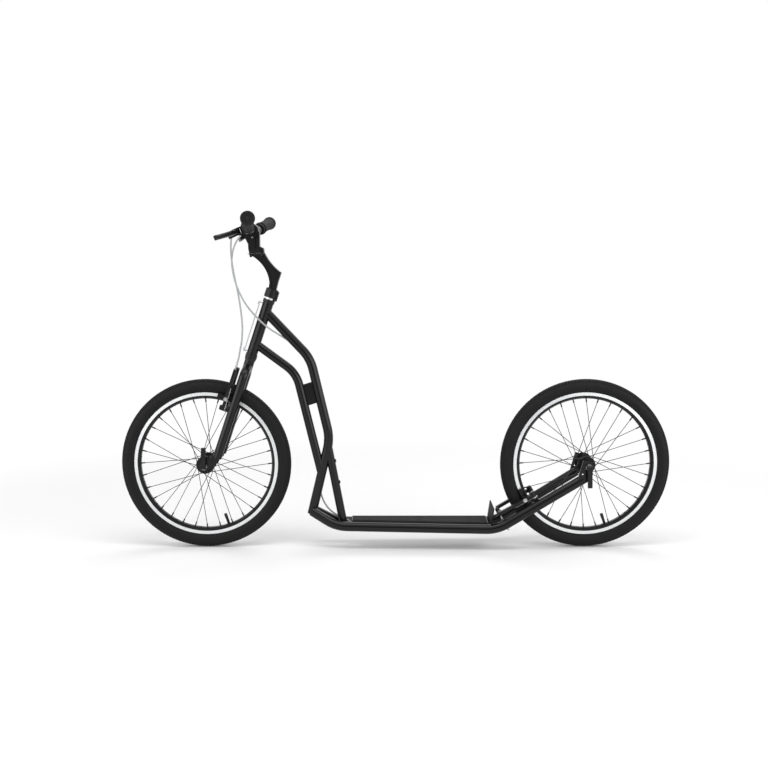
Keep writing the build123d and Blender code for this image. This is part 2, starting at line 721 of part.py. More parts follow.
def rear_dropouts():
    """Plates at the ends of the rails, slotted for the rear axle, each with a threaded eyelet."""
    pieces = []
    for side in SIDES:
        middle = side * (REAR_OVER_NUT + DROPOUT_THICK) / 2
        half = Vector(0, DROPOUT_THICK / 2, 0)
        centre = REAR_AXLE + Vector(0, middle, 0)
        plate = rod(centre - half, centre + half, DROPOUT_R)
        plane = Plane(origin=centre, x_dir=(1, 0, 0), z_dir=(0, -1, 0))
        outline = [(-16, 20), (9, 14), (15, -4), (8, -34), (-6, -44), (-26, -52), (-30, -30)]
        plate += side_slab(outline, DROPOUT_THICK / 2, plane)
        eyelet = centre + Vector(-17, 0, -20)
        plate -= rod(eyelet - half * 3, eyelet + half * 3, CAGE_THREAD_R)
        slot_r = AXLE_R + SLOT_CLEARANCE
        slot_dir = Vector(cos(radians(-35)), 0, sin(radians(-35)))
        plate -= rod(centre - half * 3, centre + half * 3, slot_r)
        slot = Plane(origin=centre + slot_dir * DROPOUT_R, x_dir=slot_dir, z_dir=(0, 1, 0))
        plate -= slot * Box(2 * DROPOUT_R, 2 * slot_r, 3 * DROPOUT_THICK)
        plate -= rail_solid(side)
        pieces.append(max(plate.solids(), key=lambda solid: solid.volume))
    return group(pieces)


# Brakes: the plane's X runs across the bike, its Y outwards from the axle along the arms

def front_brake_plane():
    return Plane(origin=FRONT_AXLE, x_dir=(0, -1, 0), z_dir=BACK * -1)


def rear_brake_plane():
    angle = radians(REAR_BRAKE_ANGLE)
    out = Vector(-cos(angle), 0, -sin(angle))
    return Plane(origin=REAR_AXLE, x_dir=(0, 1, 0), z_dir=Vector(0, 1, 0).cross(out))


def brake_pivots(plane, base, tubes):
    """Two bosses on the tubes with a bolt on each."""
    pieces = []
    for side in SIDES:
        spot = Pos(side * BRAKE_PIVOT_SIDE, BRAKE_PIVOT_OUT, 0)
        low = -BRAKE_ARM_THICK / 2 - 3.0
        boss = plane * (spot * Pos(0, 0, (base + low) / 2) * Cylinder(BRAKE_SLEEVE_R, low - base))
        stud_top = BRAKE_ARM_THICK / 2 + 2.0
        stud = plane * (spot * Pos(0, 0, (low + stud_top) / 2) * Cylinder(BRAKE_STUD_R, stud_top - low))
        head = plane * (spot * Pos(0, 0, stud_top + 2.0) * Cylinder(BRAKE_SLEEVE_R - 1, 4.0))
        pivot = boss + stud + head
        for tube in tubes:
            pivot -= tube
        pieces.append(max(pivot.solids(), key=lambda solid: solid.volume))
    return group(pieces)


def brake_arm(plane, side, seat=None):
    """Cast arm with its pivot sleeve and pad post hole, and a seat for the bent pipe if it holds one."""
    top = BRAKE_PIVOT_OUT + BRAKE_ARM_LENGTH
    inner = BRAKE_PIVOT_SIDE - 5
    outline = [
        (BRAKE_PIVOT_SIDE - 7, BRAKE_PIVOT_OUT), (inner, BRAKE_PAD_OUT - 9), (inner - 1, BRAKE_PAD_OUT + 9),
        (BRAKE_PIVOT_SIDE - 2, BRAKE_PAD_OUT + 24), (BRAKE_PIVOT_SIDE - 6, top - 12), (BRAKE_PIVOT_SIDE - 9, top),
        (BRAKE_PIVOT_SIDE + 3, top + 2), (BRAKE_PIVOT_SIDE + 7, top - 20), (BRAKE_PIVOT_SIDE + 9, BRAKE_PAD_OUT + 20),
        (BRAKE_PIVOT_SIDE + 7, BRAKE_PAD_OUT), (BRAKE_PIVOT_SIDE + 7, BRAKE_PIVOT_OUT),
    ]
    outline = [(side * across, out) for across, out in outline]
    arm = extrude(make_face(Polyline(*outline, close=True)), BRAKE_ARM_THICK / 2, both=True)
    spot = Pos(side * BRAKE_PIVOT_SIDE, BRAKE_PIVOT_OUT, 0)
    sleeve_low = -BRAKE_ARM_THICK / 2 - 3.0 + RUNNING_GAP
    sleeve_high = BRAKE_ARM_THICK / 2 + 2.0 - RUNNING_GAP
    middle = (sleeve_low + sleeve_high) / 2
    arm += spot * Pos(0, 0, middle) * Cylinder(BRAKE_SLEEVE_R, sleeve_high - sleeve_low)
    arm -= spot * Cylinder(BRAKE_STUD_R + BRAKE_STUD_CLEARANCE, 60)
    arm -= pad_post(side, PAD_POST_R + 0.02)
    if seat is None:
        arm -= Pos(side * BRAKE_PIVOT_SIDE, top, 0) * (Rot(0, 90, 0) * Cylinder(WIRE_R + WIRE_CLEARANCE, 40))
        return plane * arm
    corner, entry = seat
    lug_start = BRAKE_PIVOT_SIDE - 6
    lug_end = corner - NOODLE_BEND + 2
    lug = Box(lug_start - lug_end, 9, BRAKE_ARM_THICK)
    arm += Pos(side * (lug_start + lug_end) / 2, top - 4.5, 0) * lug
    arm -= sweep_round(noodle_points(side, corner, entry), [NOODLE_BEND], NOODLE_R + 0.02)
    arm = max(arm.solids(), key=lambda solid: solid.volume)
    return plane * arm


def pad_post(side, radius):
    """Threaded post that runs from the pad through the arm."""
    start = RIM_HALF_WIDTH + PAD_GAP + PAD_DEPTH - 1
    end = BRAKE_PIVOT_SIDE + 12
    return Pos(side * (start + end) / 2, BRAKE_PAD_OUT, 0) * (Rot(0, 90, 0) * Cylinder(radius, end - start))


def brake_pad(plane, side):
    """Rubber block curved to the rim, with its post and nut."""
    inner = RIM_HALF_WIDTH + PAD_GAP
    block = Pos(side * (inner + PAD_DEPTH / 2), BRAKE_PAD_OUT, 0) * Box(PAD_DEPTH, PAD_HEIGHT * 3, PAD_LENGTH)
    outer_r = RIM_FLANGE_R - 0.6
    across = Rot(0, 90, 0) * Cylinder(outer_r, 200)
    inside = Rot(0, 90, 0) * Cylinder(outer_r - PAD_HEIGHT, 200)
    block = (block & across) - inside
    nut = Pos(side * (BRAKE_PIVOT_SIDE + 9.5), BRAKE_PAD_OUT, 0) * (Rot(0, 90, 0) * Cylinder(5.0, 4.0))
    return plane * (block + pad_post(side, PAD_POST_R) + nut)


def noodle_points(side, corner, entry):
    """Route of the bent pipe that leads the cable into one arm, in the brake's plane."""
    level = BRAKE_PIVOT_OUT + BRAKE_ARM_LENGTH
    mouth = Vector(side * (corner - NOODLE_BEND - NOODLE_MOUTH), level, 0)
    bend = Vector(side * corner, level, 0)
    return [mouth, bend, bend + entry * (NOODLE_BEND + NOODLE_INLET)]


def noodle(plane, side, seat):
    """Bent pipe, seated in the top of one arm."""
    corner, entry = seat
    points = noodle_points(side, corner, entry)
    return plane * (sweep_round(points, [NOODLE_BEND], NOODLE_R) - sweep_round(points, [NOODLE_BEND], NOODLE_BORE_R))


def brake_wire(plane, side, seat):
    """Rubber boot over the pipe's mouth, with the inner wire that runs on to the other arm."""
    level = BRAKE_PIVOT_OUT + BRAKE_ARM_LENGTH
    mouth = seat[0] - NOODLE_BEND - NOODLE_MOUTH
    start = mouth + 6
    end = start - BOOT_LENGTH
    boot = ring((side * start, level, 0), (side * (end + 2), level, 0), BOOT_R, BOOT_BORE_R)
    boot += rod((side * (end + 2), level, 0), (side * end, level, 0), BOOT_R)
    boot += rod((side * (end + 2), level, 0), (side * (end - 2), level, 0), 3.5)
    wire = rod((side * (mouth - 7), level, 0), (-side * (BRAKE_PIVOT_SIDE + 14), level, 0), WIRE_R)
    return plane * (boot + wire)


# Stem, bar and levers

def stem_neck():
    """Curved neck with recessed sides on a split clamp round the steerer."""
    bottom = clamp_bottom()
    top = bottom + STEM_CLAMP_HEIGHT
    edge = [
        ThreePointArc((-423, 852), (-375, 813), (-360.5, 770)),
        Line((-360.5, 770), (-364, 748)),
        Line((-364, 748), (-374, 738)),
        Line((-374, 738), (-345, 737)),
        Line((-345, 737), (-335.5, 773)),
        Line((-335.5, 773), (-327, 798)),
        ThreePointArc((-327, 798), (-354, 823), (-374, 854)),
        Line((-374, 854), (-423, 852)),
    ]
    body = extrude(Plane.XZ * make_face(edge), STEM_HALF_WIDTH, both=True)
    recess = [
        ThreePointArc((-406, 845.5), (-370, 814), (-355, 772)),
        Line((-355, 772), (-357, 752)),
        Line((-357, 752), (-350, 749)),
        Line((-350, 749), (-341, 774)),
        Line((-341, 774), (-333.5, 797)),
        ThreePointArc((-333.5, 797), (-358.5, 820), (-378, 848)),
        Line((-378, 848), (-406, 845.5)),
    ]
    pocket = extrude(Plane.XZ * make_face(recess), STEM_WEB_RECESS)
    for side in SIDES:
        outer = STEM_HALF_WIDTH + 1
        shift = outer - STEM_WEB_RECESS / 2 if side > 0 else -outer + STEM_WEB_RECESS / 2
        body -= Pos(0, shift + STEM_WEB_RECESS / 2, 0) * pocket
    body += rod(steer(0, 0, bottom), steer(0, 0, top), STEM_CLAMP_R)
    low = bottom - SPACER_HEIGHT + 0.1
    outline = [(12, low), (CLAMP_EARS_BACK, low), (CLAMP_EARS_BACK, top - 3), (12, top - 3)]
    ears = side_slab(outline, 10.0, Plane(origin=STEER_FOOT, x_dir=BACK, z_dir=(0, -1, 0)))
    ears -= rod(steer(0, 0, bottom - 30), steer(0, 0, bottom), SPACER_R + 0.5)
    body += ears
    body -= rod(steer(0, 0, bottom - 1), steer(0, 0, top - 0.9), STEERER_R + 0.02)
    gap = side_slab([(8, bottom - 12), (30, bottom - 12), (30, top - 6), (8, top - 6)], 1.0,
                    Plane(origin=STEER_FOOT, x_dir=BACK, z_dir=(0, -1, 0)))
    body -= gap
    for up in clamp_bolt_heights():
        body -= rod(steer(CLAMP_BOLT_BACK, -20, up), steer(CLAMP_BOLT_BACK, 20, up), CLAMP_BOLT_R + 0.05)
        body -= rod(steer(CLAMP_BOLT_BACK, -20, up), steer(CLAMP_BOLT_BACK, -10, up), CLAMP_HEAD_R + 0.2)
    body -= rod(in_plane((-412, 846), -30), in_plane((-412, 846), 30), 2.6)
    body -= rod(in_plane((-382, 848), -30), in_plane((-382, 848), 30), 2.6)
    return max(body.solids(), key=lambda solid: solid.volume)


def clamp_bolt_heights():
    return (clamp_bottom() - 2, clamp_bottom() + 14)


def stem_bolts():
    """Clamp bolts of the neck, the head and the bar."""
    pieces = []
    for up in clamp_bolt_heights():
        shank = rod(steer(CLAMP_BOLT_BACK, -10.02, up), steer(CLAMP_BOLT_BACK, 10, up), CLAMP_BOLT_R)
        head = rod(steer(CLAMP_BOLT_BACK, -13, up), steer(CLAMP_BOLT_BACK, -10.02, up), CLAMP_HEAD_R)
        pieces.append(shank + head)
    for place in ((-412, 846), (-382, 848)):
        bolt = rod(in_plane(place, -STEM_HALF_WIDTH - 0.02), in_plane(place, STEM_HALF_WIDTH), 2.55)
        pieces.append(bolt + rod(in_plane(place, -STEM_HALF_WIDTH - 3), in_plane(place, -STEM_HALF_WIDTH - 0.02), 4.2))
    pin = rod(in_plane((-407.5, 899), -16), in_plane((-407.5, 899), 16), 3.4)
    pieces.append(pin)
    return group(pieces)


def stem_head():
    """Tapered block between the neck and the split clamp round the bar."""
    outline = [
        (-434, 914), (-426.5, 892), (-420, 879), (-419.5, 866), (-417, 852.4), (-375, 854.1), (-376.5, 867), (-387.5, 872.5),
        (-387.5, 914),
    ]
    body = side_slab(outline, STEM_HALF_WIDTH)
    centre = in_plane(BAR_CENTRE)
    across = Vector(0, BAR_CLAMP_HALF_WIDTH, 0)
    body += rod(centre - across, centre + across, BAR_CLAMP_R)
    body -= rod(centre - across * 2, centre + across * 2, BAR_BULGE_R + 0.02)
    groove = side_slab([(-400, 868), (-396.5, 868), (-396.5, 899), (-400, 899)], 3.0)
    for side in SIDES:
        body -= Pos(0, side * STEM_HALF_WIDTH, 0) * groove
    body -= rod(in_plane((-407.5, 899), -30), in_plane((-407.5, 899), 30), 3.45)
    return body


def bar_points():
    """Bend and end of the bar's centre line on the rider's right."""
    x, z = BAR_CENTRE
    return [Vector(x, BAR_BEND_Y, z), Vector(x + BAR_SWEEP, BAR_HALF_LENGTH, z + BAR_RISE)]


def bar_at(y):
    """Centre line of the bar beyond its bend."""
    start, end = bar_points()
    share = (abs(y) - start.Y) / (end.Y - start.Y)
    spot = start + (end - start) * share
    return Vector(spot.X, y, spot.Z)


def handlebar():
    right = bar_points()
    left = [Vector(point.X, -point.Y, point.Z) for point in reversed(right)]
    points = left + right
    radii = [BAR_BEND_RADIUS, BAR_BEND_RADIUS]
    tube = sweep_round(points, radii, BAR_R)
    centre = in_plane(BAR_CENTRE)
    across = Vector(0, BAR_CLAMP_HALF_WIDTH + 6, 0)
    tube += rod(centre - across, centre + across, BAR_BULGE_R)
    return tube - sweep_round(points, radii, BAR_R - BAR_WALL)


def grip(side):
    """Rubber grip with an inner flange, shallow ribs and a closed end."""
    start = bar_at(side * GRIP_START)
    end = bar_at(side * (GRIP_START + GRIP_LENGTH))
    along = (end - start).normalized()
    body = rod(start, end, GRIP_R)
    body += rod(start, start + along * 6, GRIP_FLANGE_R)
    body += rod(end - along * 8, end, GRIP_END_R)
    for index in range(8):
        low = start + along * (20 + index * 12)
        body -= ring(low, low + along * 3, GRIP_FLANGE_R + 2, GRIP_R - 0.8)
    bore_end = bar_at(side * (BAR_HALF_LENGTH + 0.3))
    return body - rod(start - along, bore_end, BAR_R + GRIP_CLEARANCE)


def lever_point(side, reach, y):
    """Point in the plane of a brake lever, by its reach from the bar and its distance from the centre."""
    angle = radians(LEVER_DROP_ANGLE)
    base = bar_at(side * LEVER_MOUNT_Y)
    return Vector(base.X - reach * cos(angle), side * y, base.Z - reach * sin(angle))


def lever_plane(side):
    """Plane of a brake lever: X along the reach, Y outwards."""
    angle = radians(LEVER_DROP_ANGLE)
    forward = Vector(-cos(angle), 0, -sin(angle))
    base = bar_at(side * LEVER_MOUNT_Y)
    outward = Vector(0, side, 0)
    return Plane(origin=Vector(base.X, 0, base.Z), x_dir=forward, z_dir=forward.cross(outward))


def lever_brackets():
    """Clamp, body and cable adjuster of each brake lever."""
    pieces = []
    for side in SIDES:
        inner = bar_at(side * (LEVER_MOUNT_Y - LEVER_MOUNT_WIDTH / 2))
        outer = bar_at(side * (LEVER_MOUNT_Y + LEVER_MOUNT_WIDTH / 2))
        plane = lever_plane(side)
        pivot = (LEVER_PIVOT_REACH, LEVER_MOUNT_Y)
        outline = [
            (8, LEVER_MOUNT_Y - 8), (8, LEVER_MOUNT_Y + 8), (LEVER_PIVOT_REACH - 6, LEVER_MOUNT_Y + 10),
            (LEVER_PIVOT_REACH + 7, LEVER_MOUNT_Y + 6), (ADJUSTER_REACH + 5, ADJUSTER_Y + 10),
            (ADJUSTER_REACH + 5, ADJUSTER_Y), (ADJUSTER_REACH - 7, ADJUSTER_Y), (24, LEVER_MOUNT_Y - 14),
        ]
        body = plane * extrude(make_face(Polyline(*outline, close=True)), LEVER_THICK / 2 + 3, both=True)
        body += rod(inner, outer, LEVER_MOUNT_R)
        slot = [
            (LEVER_PIVOT_REACH - 13, LEVER_MOUNT_Y - 14), (LEVER_PIVOT_REACH - 12, LEVER_MOUNT_Y + 20),
            (LEVER_PIVOT_REACH + 40, LEVER_MOUNT_Y + 20), (LEVER_PIVOT_REACH + 40, LEVER_MOUNT_Y - 14),
        ]
        body -= plane * extrude(make_face(Polyline(*slot, close=True)), LEVER_THICK / 2 + RUNNING_GAP, both=True)
        body += plane * (Pos(*pivot) * Cylinder(3.0, LEVER_THICK + 6))
        body -= rod(inner - (outer - inner), outer + (outer - inner), BAR_R + GRIP_CLEARANCE)
        start = lever_point(side, ADJUSTER_REACH, ADJUSTER_Y)
        body += rod(start + Vector(0, side * 2, 0), start - Vector(0, side * ADJUSTER_LENGTH, 0), 4.5)
        body -= rod(start + Vector(0, side * 40, 0), start - Vector(0, side * 20, 0), ADJUSTER_BORE_R)
        pieces.append(body)
    return group(pieces)


def brake_lever(side):
    """Curved lever blade on its pivot."""
    tip_reach = LEVER_TIP_REACH
    pivot = (LEVER_PIVOT_REACH, LEVER_MOUNT_Y)
    outline = [
        (LEVER_PIVOT_REACH - 6, LEVER_MOUNT_Y - 4), (LEVER_PIVOT_REACH - 5, LEVER_MOUNT_Y + 12),
        (LEVER_PIVOT_REACH + 12, LEVER_MOUNT_Y + 45), (LEVER_PIVOT_REACH + 31, LEVER_MOUNT_Y + 88),
        (tip_reach - 9, LEVER_TIP_Y), (tip_reach, LEVER_TIP_Y + 2), (tip_reach + 2, LEVER_TIP_Y - 8),
        (LEVER_PIVOT_REACH + 42, LEVER_MOUNT_Y + 82), (LEVER_PIVOT_REACH + 25, LEVER_MOUNT_Y + 38),
        (LEVER_PIVOT_REACH + 22, LEVER_MOUNT_Y + 12), (LEVER_PIVOT_REACH + 20, LEVER_MOUNT_Y - 5),
    ]
    plane = lever_plane(side)
    blade = plane * extrude(make_face(Polyline(*outline, close=True)), LEVER_THICK / 2, both=True)
    blade += plane * (Pos(*pivot) * Cylinder(7.0, LEVER_THICK))
    return blade - plane * (Pos(*pivot) * Cylinder(3.0 + BRAKE_STUD_CLEARANCE, 40))


def front_plate():
    """Thin plate on two hooks in front of the head tube."""
    ahead = -(HEAD_TUBE_R + PLATE_GAP)
    plane = Plane(origin=STEER_FOOT, x_dir=BACK, z_dir=(0, -1, 0))
    low = HEAD_TUBE_LOW + 5
    high = HEAD_TUBE_HIGH - 5
    shape = slab_box(plane, (ahead - PLATE_THICK, ahead), (low - 4, high + 4), 15.0)
    for up, tip in ((low, 7), (high, -7)):
        shape += slab_box(plane, (ahead - 5, -HEAD_TUBE_R + 1), (up - 1.5, up + 1.5), 4.0)
        shape += slab_box(plane, (ahead - 5, ahead - 3), tuple(sorted((up - 1.5 * tip / 7, up + tip))), 4.0)
    return shape - head_tube_solid()


def slab_box(plane, across, along, half_width):
    """Box given by its limits in a plane and its half width."""
    outline = [(across[0], along[0]), (across[1], along[0]), (across[1], along[1]), (across[0], along[1])]
    return side_slab(outline, half_width, plane)


# Cables

FRONT_CABLE_ROUTE = [
    (-463, -56, 886), (-464, -49.5, 846), (-458, -47, 800), (-448, -45.5, 752), (-440, -44, 702),
    (-435, -43.5, 652), (-437, -45.5, 606), (-443.5, -47.2, 576),
]

REAR_CABLE_ROUTE = [
    (-470, 42, 872), (-474, 28, 832), (-467, 13, 790), (-452, -3, 748), (-428, -18, 706), (-398, -22.7, 672),
    (-366, -20.5, 641), (-334, -11, 614), (-306, 9, 592), (-281, 18.5, 572), (-256, 19.5, 540), (-238, 19.5, 497),
    (-224, 19.5, 440), (-212, 19.5, 388), (-204, 20, 336), (-208, 20.5, 284), (-219, 20, 234), (-225, 17.8, 186),
    (-219, 14.5, 146),
    (-203, 14, 113), (-178, 15.2, 90), (-150, 15.2, 79.5), (-112, 14, 58), (-62, 15, 51.5), (0, 18, 50.8),
    (62, 20, 50.4), (124, 23, 50.2), (184, 24.5, 49.7), (240, 27.4, 49.6), (285, 27.8, 50.1),
]


def lead_out(side):
    """Cable end at the lever's adjuster and the end of its first straight run."""
    start = lever_point(side, ADJUSTER_REACH, ADJUSTER_Y - ADJUSTER_LENGTH - CABLE_END_GAP)
    return [start, start - Vector(0, side * 30, 0)]


def front_cable_points():
    plane = front_brake_plane()
    end = plane.from_local_coords(noodle_points(1, *FRONT_NOODLE)[-1])
    inlet = plane.y_dir
    return lead_out(-1) + [Vector(*point) for point in FRONT_CABLE_ROUTE] + [end + inlet * 18, end + inlet * CABLE_END_GAP]


def rear_cable_points():
    """Under the deck, then round in front of the tyre and up to the bent pipe."""
    plane = rear_brake_plane()
    end = plane.from_local_coords(noodle_points(-1, *REAR_NOODLE)[-1])
    down = plane.z_dir * -1
    across = Vector(0, 1, 0)
    below = end + down * 24
    left = below + (down + across).normalized() * 24
    right = left + across * 26
    forward = right + (across - Vector(1, 0, 0)).normalized() * 26
    return lead_out(1) + [Vector(*point) for point in REAR_CABLE_ROUTE] + [forward, right, left, below, end + down * CABLE_END_GAP]


def cable(name, points):
    """Cable housing along its real route, with its bends and its volume printed."""
    radii = cord_radii(points)
    solid = sweep_round(points, radii, CABLE_R)
    expected = pi * CABLE_R ** 2 * FilletPolyline(*points, radius=radii).length
    print(name, "volume ratio", round(solid.volume / expected, 4))
    print(name, "bend radii", [round(radius, 1) for radius in radii])
    return solid


def clip(middle, along, foot, tube, housing):
    """Small clip round the cable, with a foot on the tube beside it."""
    shape = rod(middle - along * 4, middle + along * 4, CABLE_R + 1.6)
    shape += rod(middle, foot, 2.6)
    shape = shape - tube - housing
    return max(shape.solids(), key=lambda solid: solid.volume)


def cable_clips(points):
    """Clips that hold the rear cable on the main tube and under the deck bridges."""
    housing = sweep_round(points, cord_radii(points), CABLE_R + 0.02)
    main = main_tube_solid()
    pieces = []
    for height, tube_x in ((466.0, -226.1), (312.0, -192.9), (205.0, -218.5)):
        start, end = next(pair for pair in zip(points, points[1:]) if pair[0].Z > height >= pair[1].Z)
        middle = start + (end - start) * ((start.Z - height) / (start.Z - end.Z))
        pieces.append(clip(middle, (end - start).normalized(), Vector(tube_x, 0, height), main, housing))
    for place in SCREW_PLACES:
        start, end = next(pair for pair in zip(points, points[1:]) if pair[0].X <= place < pair[1].X and pair[0].X > RAIL_FRONT[0])
        middle = start + (end - start) * ((place - start.X) / (end.X - start.X))
        foot = Vector(place, middle.Y, rail_at(place)[1])
        pieces.append(clip(middle, (end - start).normalized(), foot, bridge_solid(place), housing))
    return group(pieces)


def build():
    """All sub-parts by name."""
    parts = {}
    for name, axle in (("front", FRONT_AXLE), ("rear", REAR_AXLE)):
        parts[name + "_tyre"] = tyre(axle)
        parts[name + "_inner_tube"] = inner_tube(axle, VALVE_ANGLE)
        parts[name + "_rim"] = rim(axle, VALVE_ANGLE)
        parts[name + "_spokes"] = spokes(axle)
        parts[name + "_hub"] = hub(axle)
        parts[name + "_hub_bearings"] = hub_bearings(axle)
    tilt = radians(QUICK_LEVER_TILT)
    parts["front_axle"] = axle_set(FRONT_AXLE, FRONT_OVER_NUT, DROPOUT_THICK)
    parts["rear_axle"] = axle_set(REAR_AXLE, REAR_OVER_NUT, DROPOUT_THICK)
    parts["front_quick_lever"] = quick_lever(FRONT_AXLE, FRONT_OVER_NUT, DROPOUT_THICK, Vector(sin(tilt), 0, cos(tilt)))
    parts["rear_quick_lever"] = quick_lever(REAR_AXLE, REAR_OVER_NUT, DROPOUT_THICK, Vector(sin(tilt), 0, -cos(tilt)))

    parts["head_tube"] = head_tube()
    parts["headset_cups"] = headset_cups()
    parts["main_tube"] = main_tube()
    parts["lower_tube"] = lower_tube()
    parts["deck_strut"] = deck_strut()
    parts["gusset_plate"] = gusset_plate()
    parts["deck_rails"] = group([side_rail(-1), side_rail(1)])
    parts["rail_bridges"] = rail_bridges()
    parts["deck_plate"] = deck_plate()
    parts["deck_grip"] = deck_grip()
    parts["deck_screws"] = deck_screws()
    parts["heel_plate"] = heel_plate()
    parts["rear_dropouts"] = rear_dropouts()
    parts["front_plate"] = front_plate()

    parts["fork_steerer"] = steerer_tube()
    parts["fork_blades"] = fork_blades()
    parts["fork_dropouts"] = fork_dropouts()
    parts["headset_race"] = headset_races()
    parts["headset_spacer"] = headset_spacer()
    parts["stem_neck"] = stem_neck()
    parts["stem_head"] = stem_head()
    parts["stem_bolts"] = stem_bolts()
    parts["handlebar"] = handlebar()
    parts["grips"] = group([grip(-1), grip(1)])
    parts["lever_brackets"] = lever_brackets()
    parts["brake_lever_left"] = brake_lever(-1)
    parts["brake_lever_right"] = brake_lever(1)

    front = front_brake_plane()
    rear = rear_brake_plane()
    blades = [blade_solid(-1), blade_solid(1)]
    rails = [rail_solid(-1), rail_solid(1)]
    parts["front_brake_pivots"] = brake_pivots(front, -FORK_OFFSET, blades)
    parts["rear_brake_pivots"] = brake_pivots(rear, -22.0, rails)
    for name, plane, left, seat in (("front", front, 1, FRONT_NOODLE), ("rear", rear, -1, REAR_NOODLE)):
        parts[name + "_arm_left"] = brake_arm(plane, left, seat)
        parts[name + "_arm_right"] = brake_arm(plane, -left)
        parts[name + "_noodle"] = noodle(plane, left, seat)
        parts[name + "_brake_wire"] = brake_wire(plane, left, seat)
        parts[name + "_pad_left"] = brake_pad(plane, left)
        parts[name + "_pad_right"] = brake_pad(plane, -left)
    parts["front_cable"] = cable("front cable", front_cable_points())
    parts["rear_cable"] = cable("rear cable", rear_cable_points())
    parts["cable_clips"] = cable_clips(rear_cable_points())
    return parts


os.makedirs("parts", exist_ok=True)
for part_name, shape in build().items():
    export_step(shape, "parts/" + part_name + ".step")
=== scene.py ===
"""Dressed model of an adult kick bike with two 20-inch wheels, in a plain white studio."""

import json
import logging
from collections.abc import Callable, Iterable, Sequence
from dataclasses import dataclass, field
from enum import Enum
from math import cos, hypot, pi, radians, sin

import bmesh
import bpy
from mathutils import Matrix, Vector

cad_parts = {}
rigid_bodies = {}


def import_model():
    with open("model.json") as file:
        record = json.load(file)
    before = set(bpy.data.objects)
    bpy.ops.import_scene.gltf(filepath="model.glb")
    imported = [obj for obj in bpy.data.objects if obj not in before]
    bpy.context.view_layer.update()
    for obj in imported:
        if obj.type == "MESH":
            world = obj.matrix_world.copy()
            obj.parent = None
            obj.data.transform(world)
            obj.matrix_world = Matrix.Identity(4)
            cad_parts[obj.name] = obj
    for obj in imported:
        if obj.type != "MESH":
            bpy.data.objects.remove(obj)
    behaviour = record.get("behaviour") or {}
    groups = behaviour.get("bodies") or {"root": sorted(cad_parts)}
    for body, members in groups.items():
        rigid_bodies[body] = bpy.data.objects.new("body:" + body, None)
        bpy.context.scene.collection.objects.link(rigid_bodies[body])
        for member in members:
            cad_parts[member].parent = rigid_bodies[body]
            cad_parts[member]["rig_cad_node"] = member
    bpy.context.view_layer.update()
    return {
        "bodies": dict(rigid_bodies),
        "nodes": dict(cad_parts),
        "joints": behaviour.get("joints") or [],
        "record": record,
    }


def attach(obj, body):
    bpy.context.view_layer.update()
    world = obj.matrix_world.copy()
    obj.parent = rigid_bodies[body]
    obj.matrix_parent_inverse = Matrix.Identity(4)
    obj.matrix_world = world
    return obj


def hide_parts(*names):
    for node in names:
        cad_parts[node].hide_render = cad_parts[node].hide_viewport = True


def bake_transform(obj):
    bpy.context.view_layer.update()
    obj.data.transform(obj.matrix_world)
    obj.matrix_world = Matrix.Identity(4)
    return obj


LOG = logging.getLogger("kick_bike")

Colour = tuple[float, float, float]
Outline = Sequence[tuple[float, float]]

WHEELBASE = 1.1
AXLE_HEIGHT = 0.2464
HEAD_TILT = radians(18.4)
FORK_OFFSET = 0.0281
BACK = Vector((cos(HEAD_TILT), 0, -sin(HEAD_TILT)))
UP = Vector((sin(HEAD_TILT), 0, cos(HEAD_TILT)))
FRONT_AXLE = Vector((-WHEELBASE / 2, 0, AXLE_HEIGHT))
REAR_AXLE = Vector((WHEELBASE / 2, 0, AXLE_HEIGHT))
STEER_FOOT = FRONT_AXLE + BACK * FORK_OFFSET
ACROSS = Vector((0, 1, 0))


class Side(Enum):
    """Side of the bike as the rider sees it; the value is the sign of Y."""

    LEFT = -1
    RIGHT = 1


class End(Enum):
    """Front or rear wheel, with its brake."""

    FRONT = "front"
    REAR = "rear"


class Metal(Enum):
    """Whether a finish conducts."""

    BARE = 1.0
    COATED = 0.0


def steer(back: float, side: float, up: float) -> Vector:
    """Point given behind, beside and along the steering axis.

    Args:
        back: Distance behind the axis.
        side: Distance to the rider's right.
        up: Height along the axis above the foot level with the axle.

    Returns:
        The point in the row frame, in metres.
    """
    return STEER_FOOT + BACK * back + ACROSS * side + UP * up


def on_axes(origin: Vector, x_axis: Vector, y_axis: Vector) -> Matrix:
    """Matrix that places local X and Y on two directions at an origin.

    Args:
        origin: Place of the local origin.
        x_axis: Direction of local X.
        y_axis: Direction of local Y.

    Returns:
        The placing matrix; local Z is X cross Y.
    """
    x_unit = x_axis.normalized()
    y_unit = y_axis.normalized()
    z_unit = x_unit.cross(y_unit)
    turn = Matrix((x_unit, y_unit, z_unit)).transposed().to_4x4()
    return Matrix.Translation(origin) @ turn


# Shader node helpers


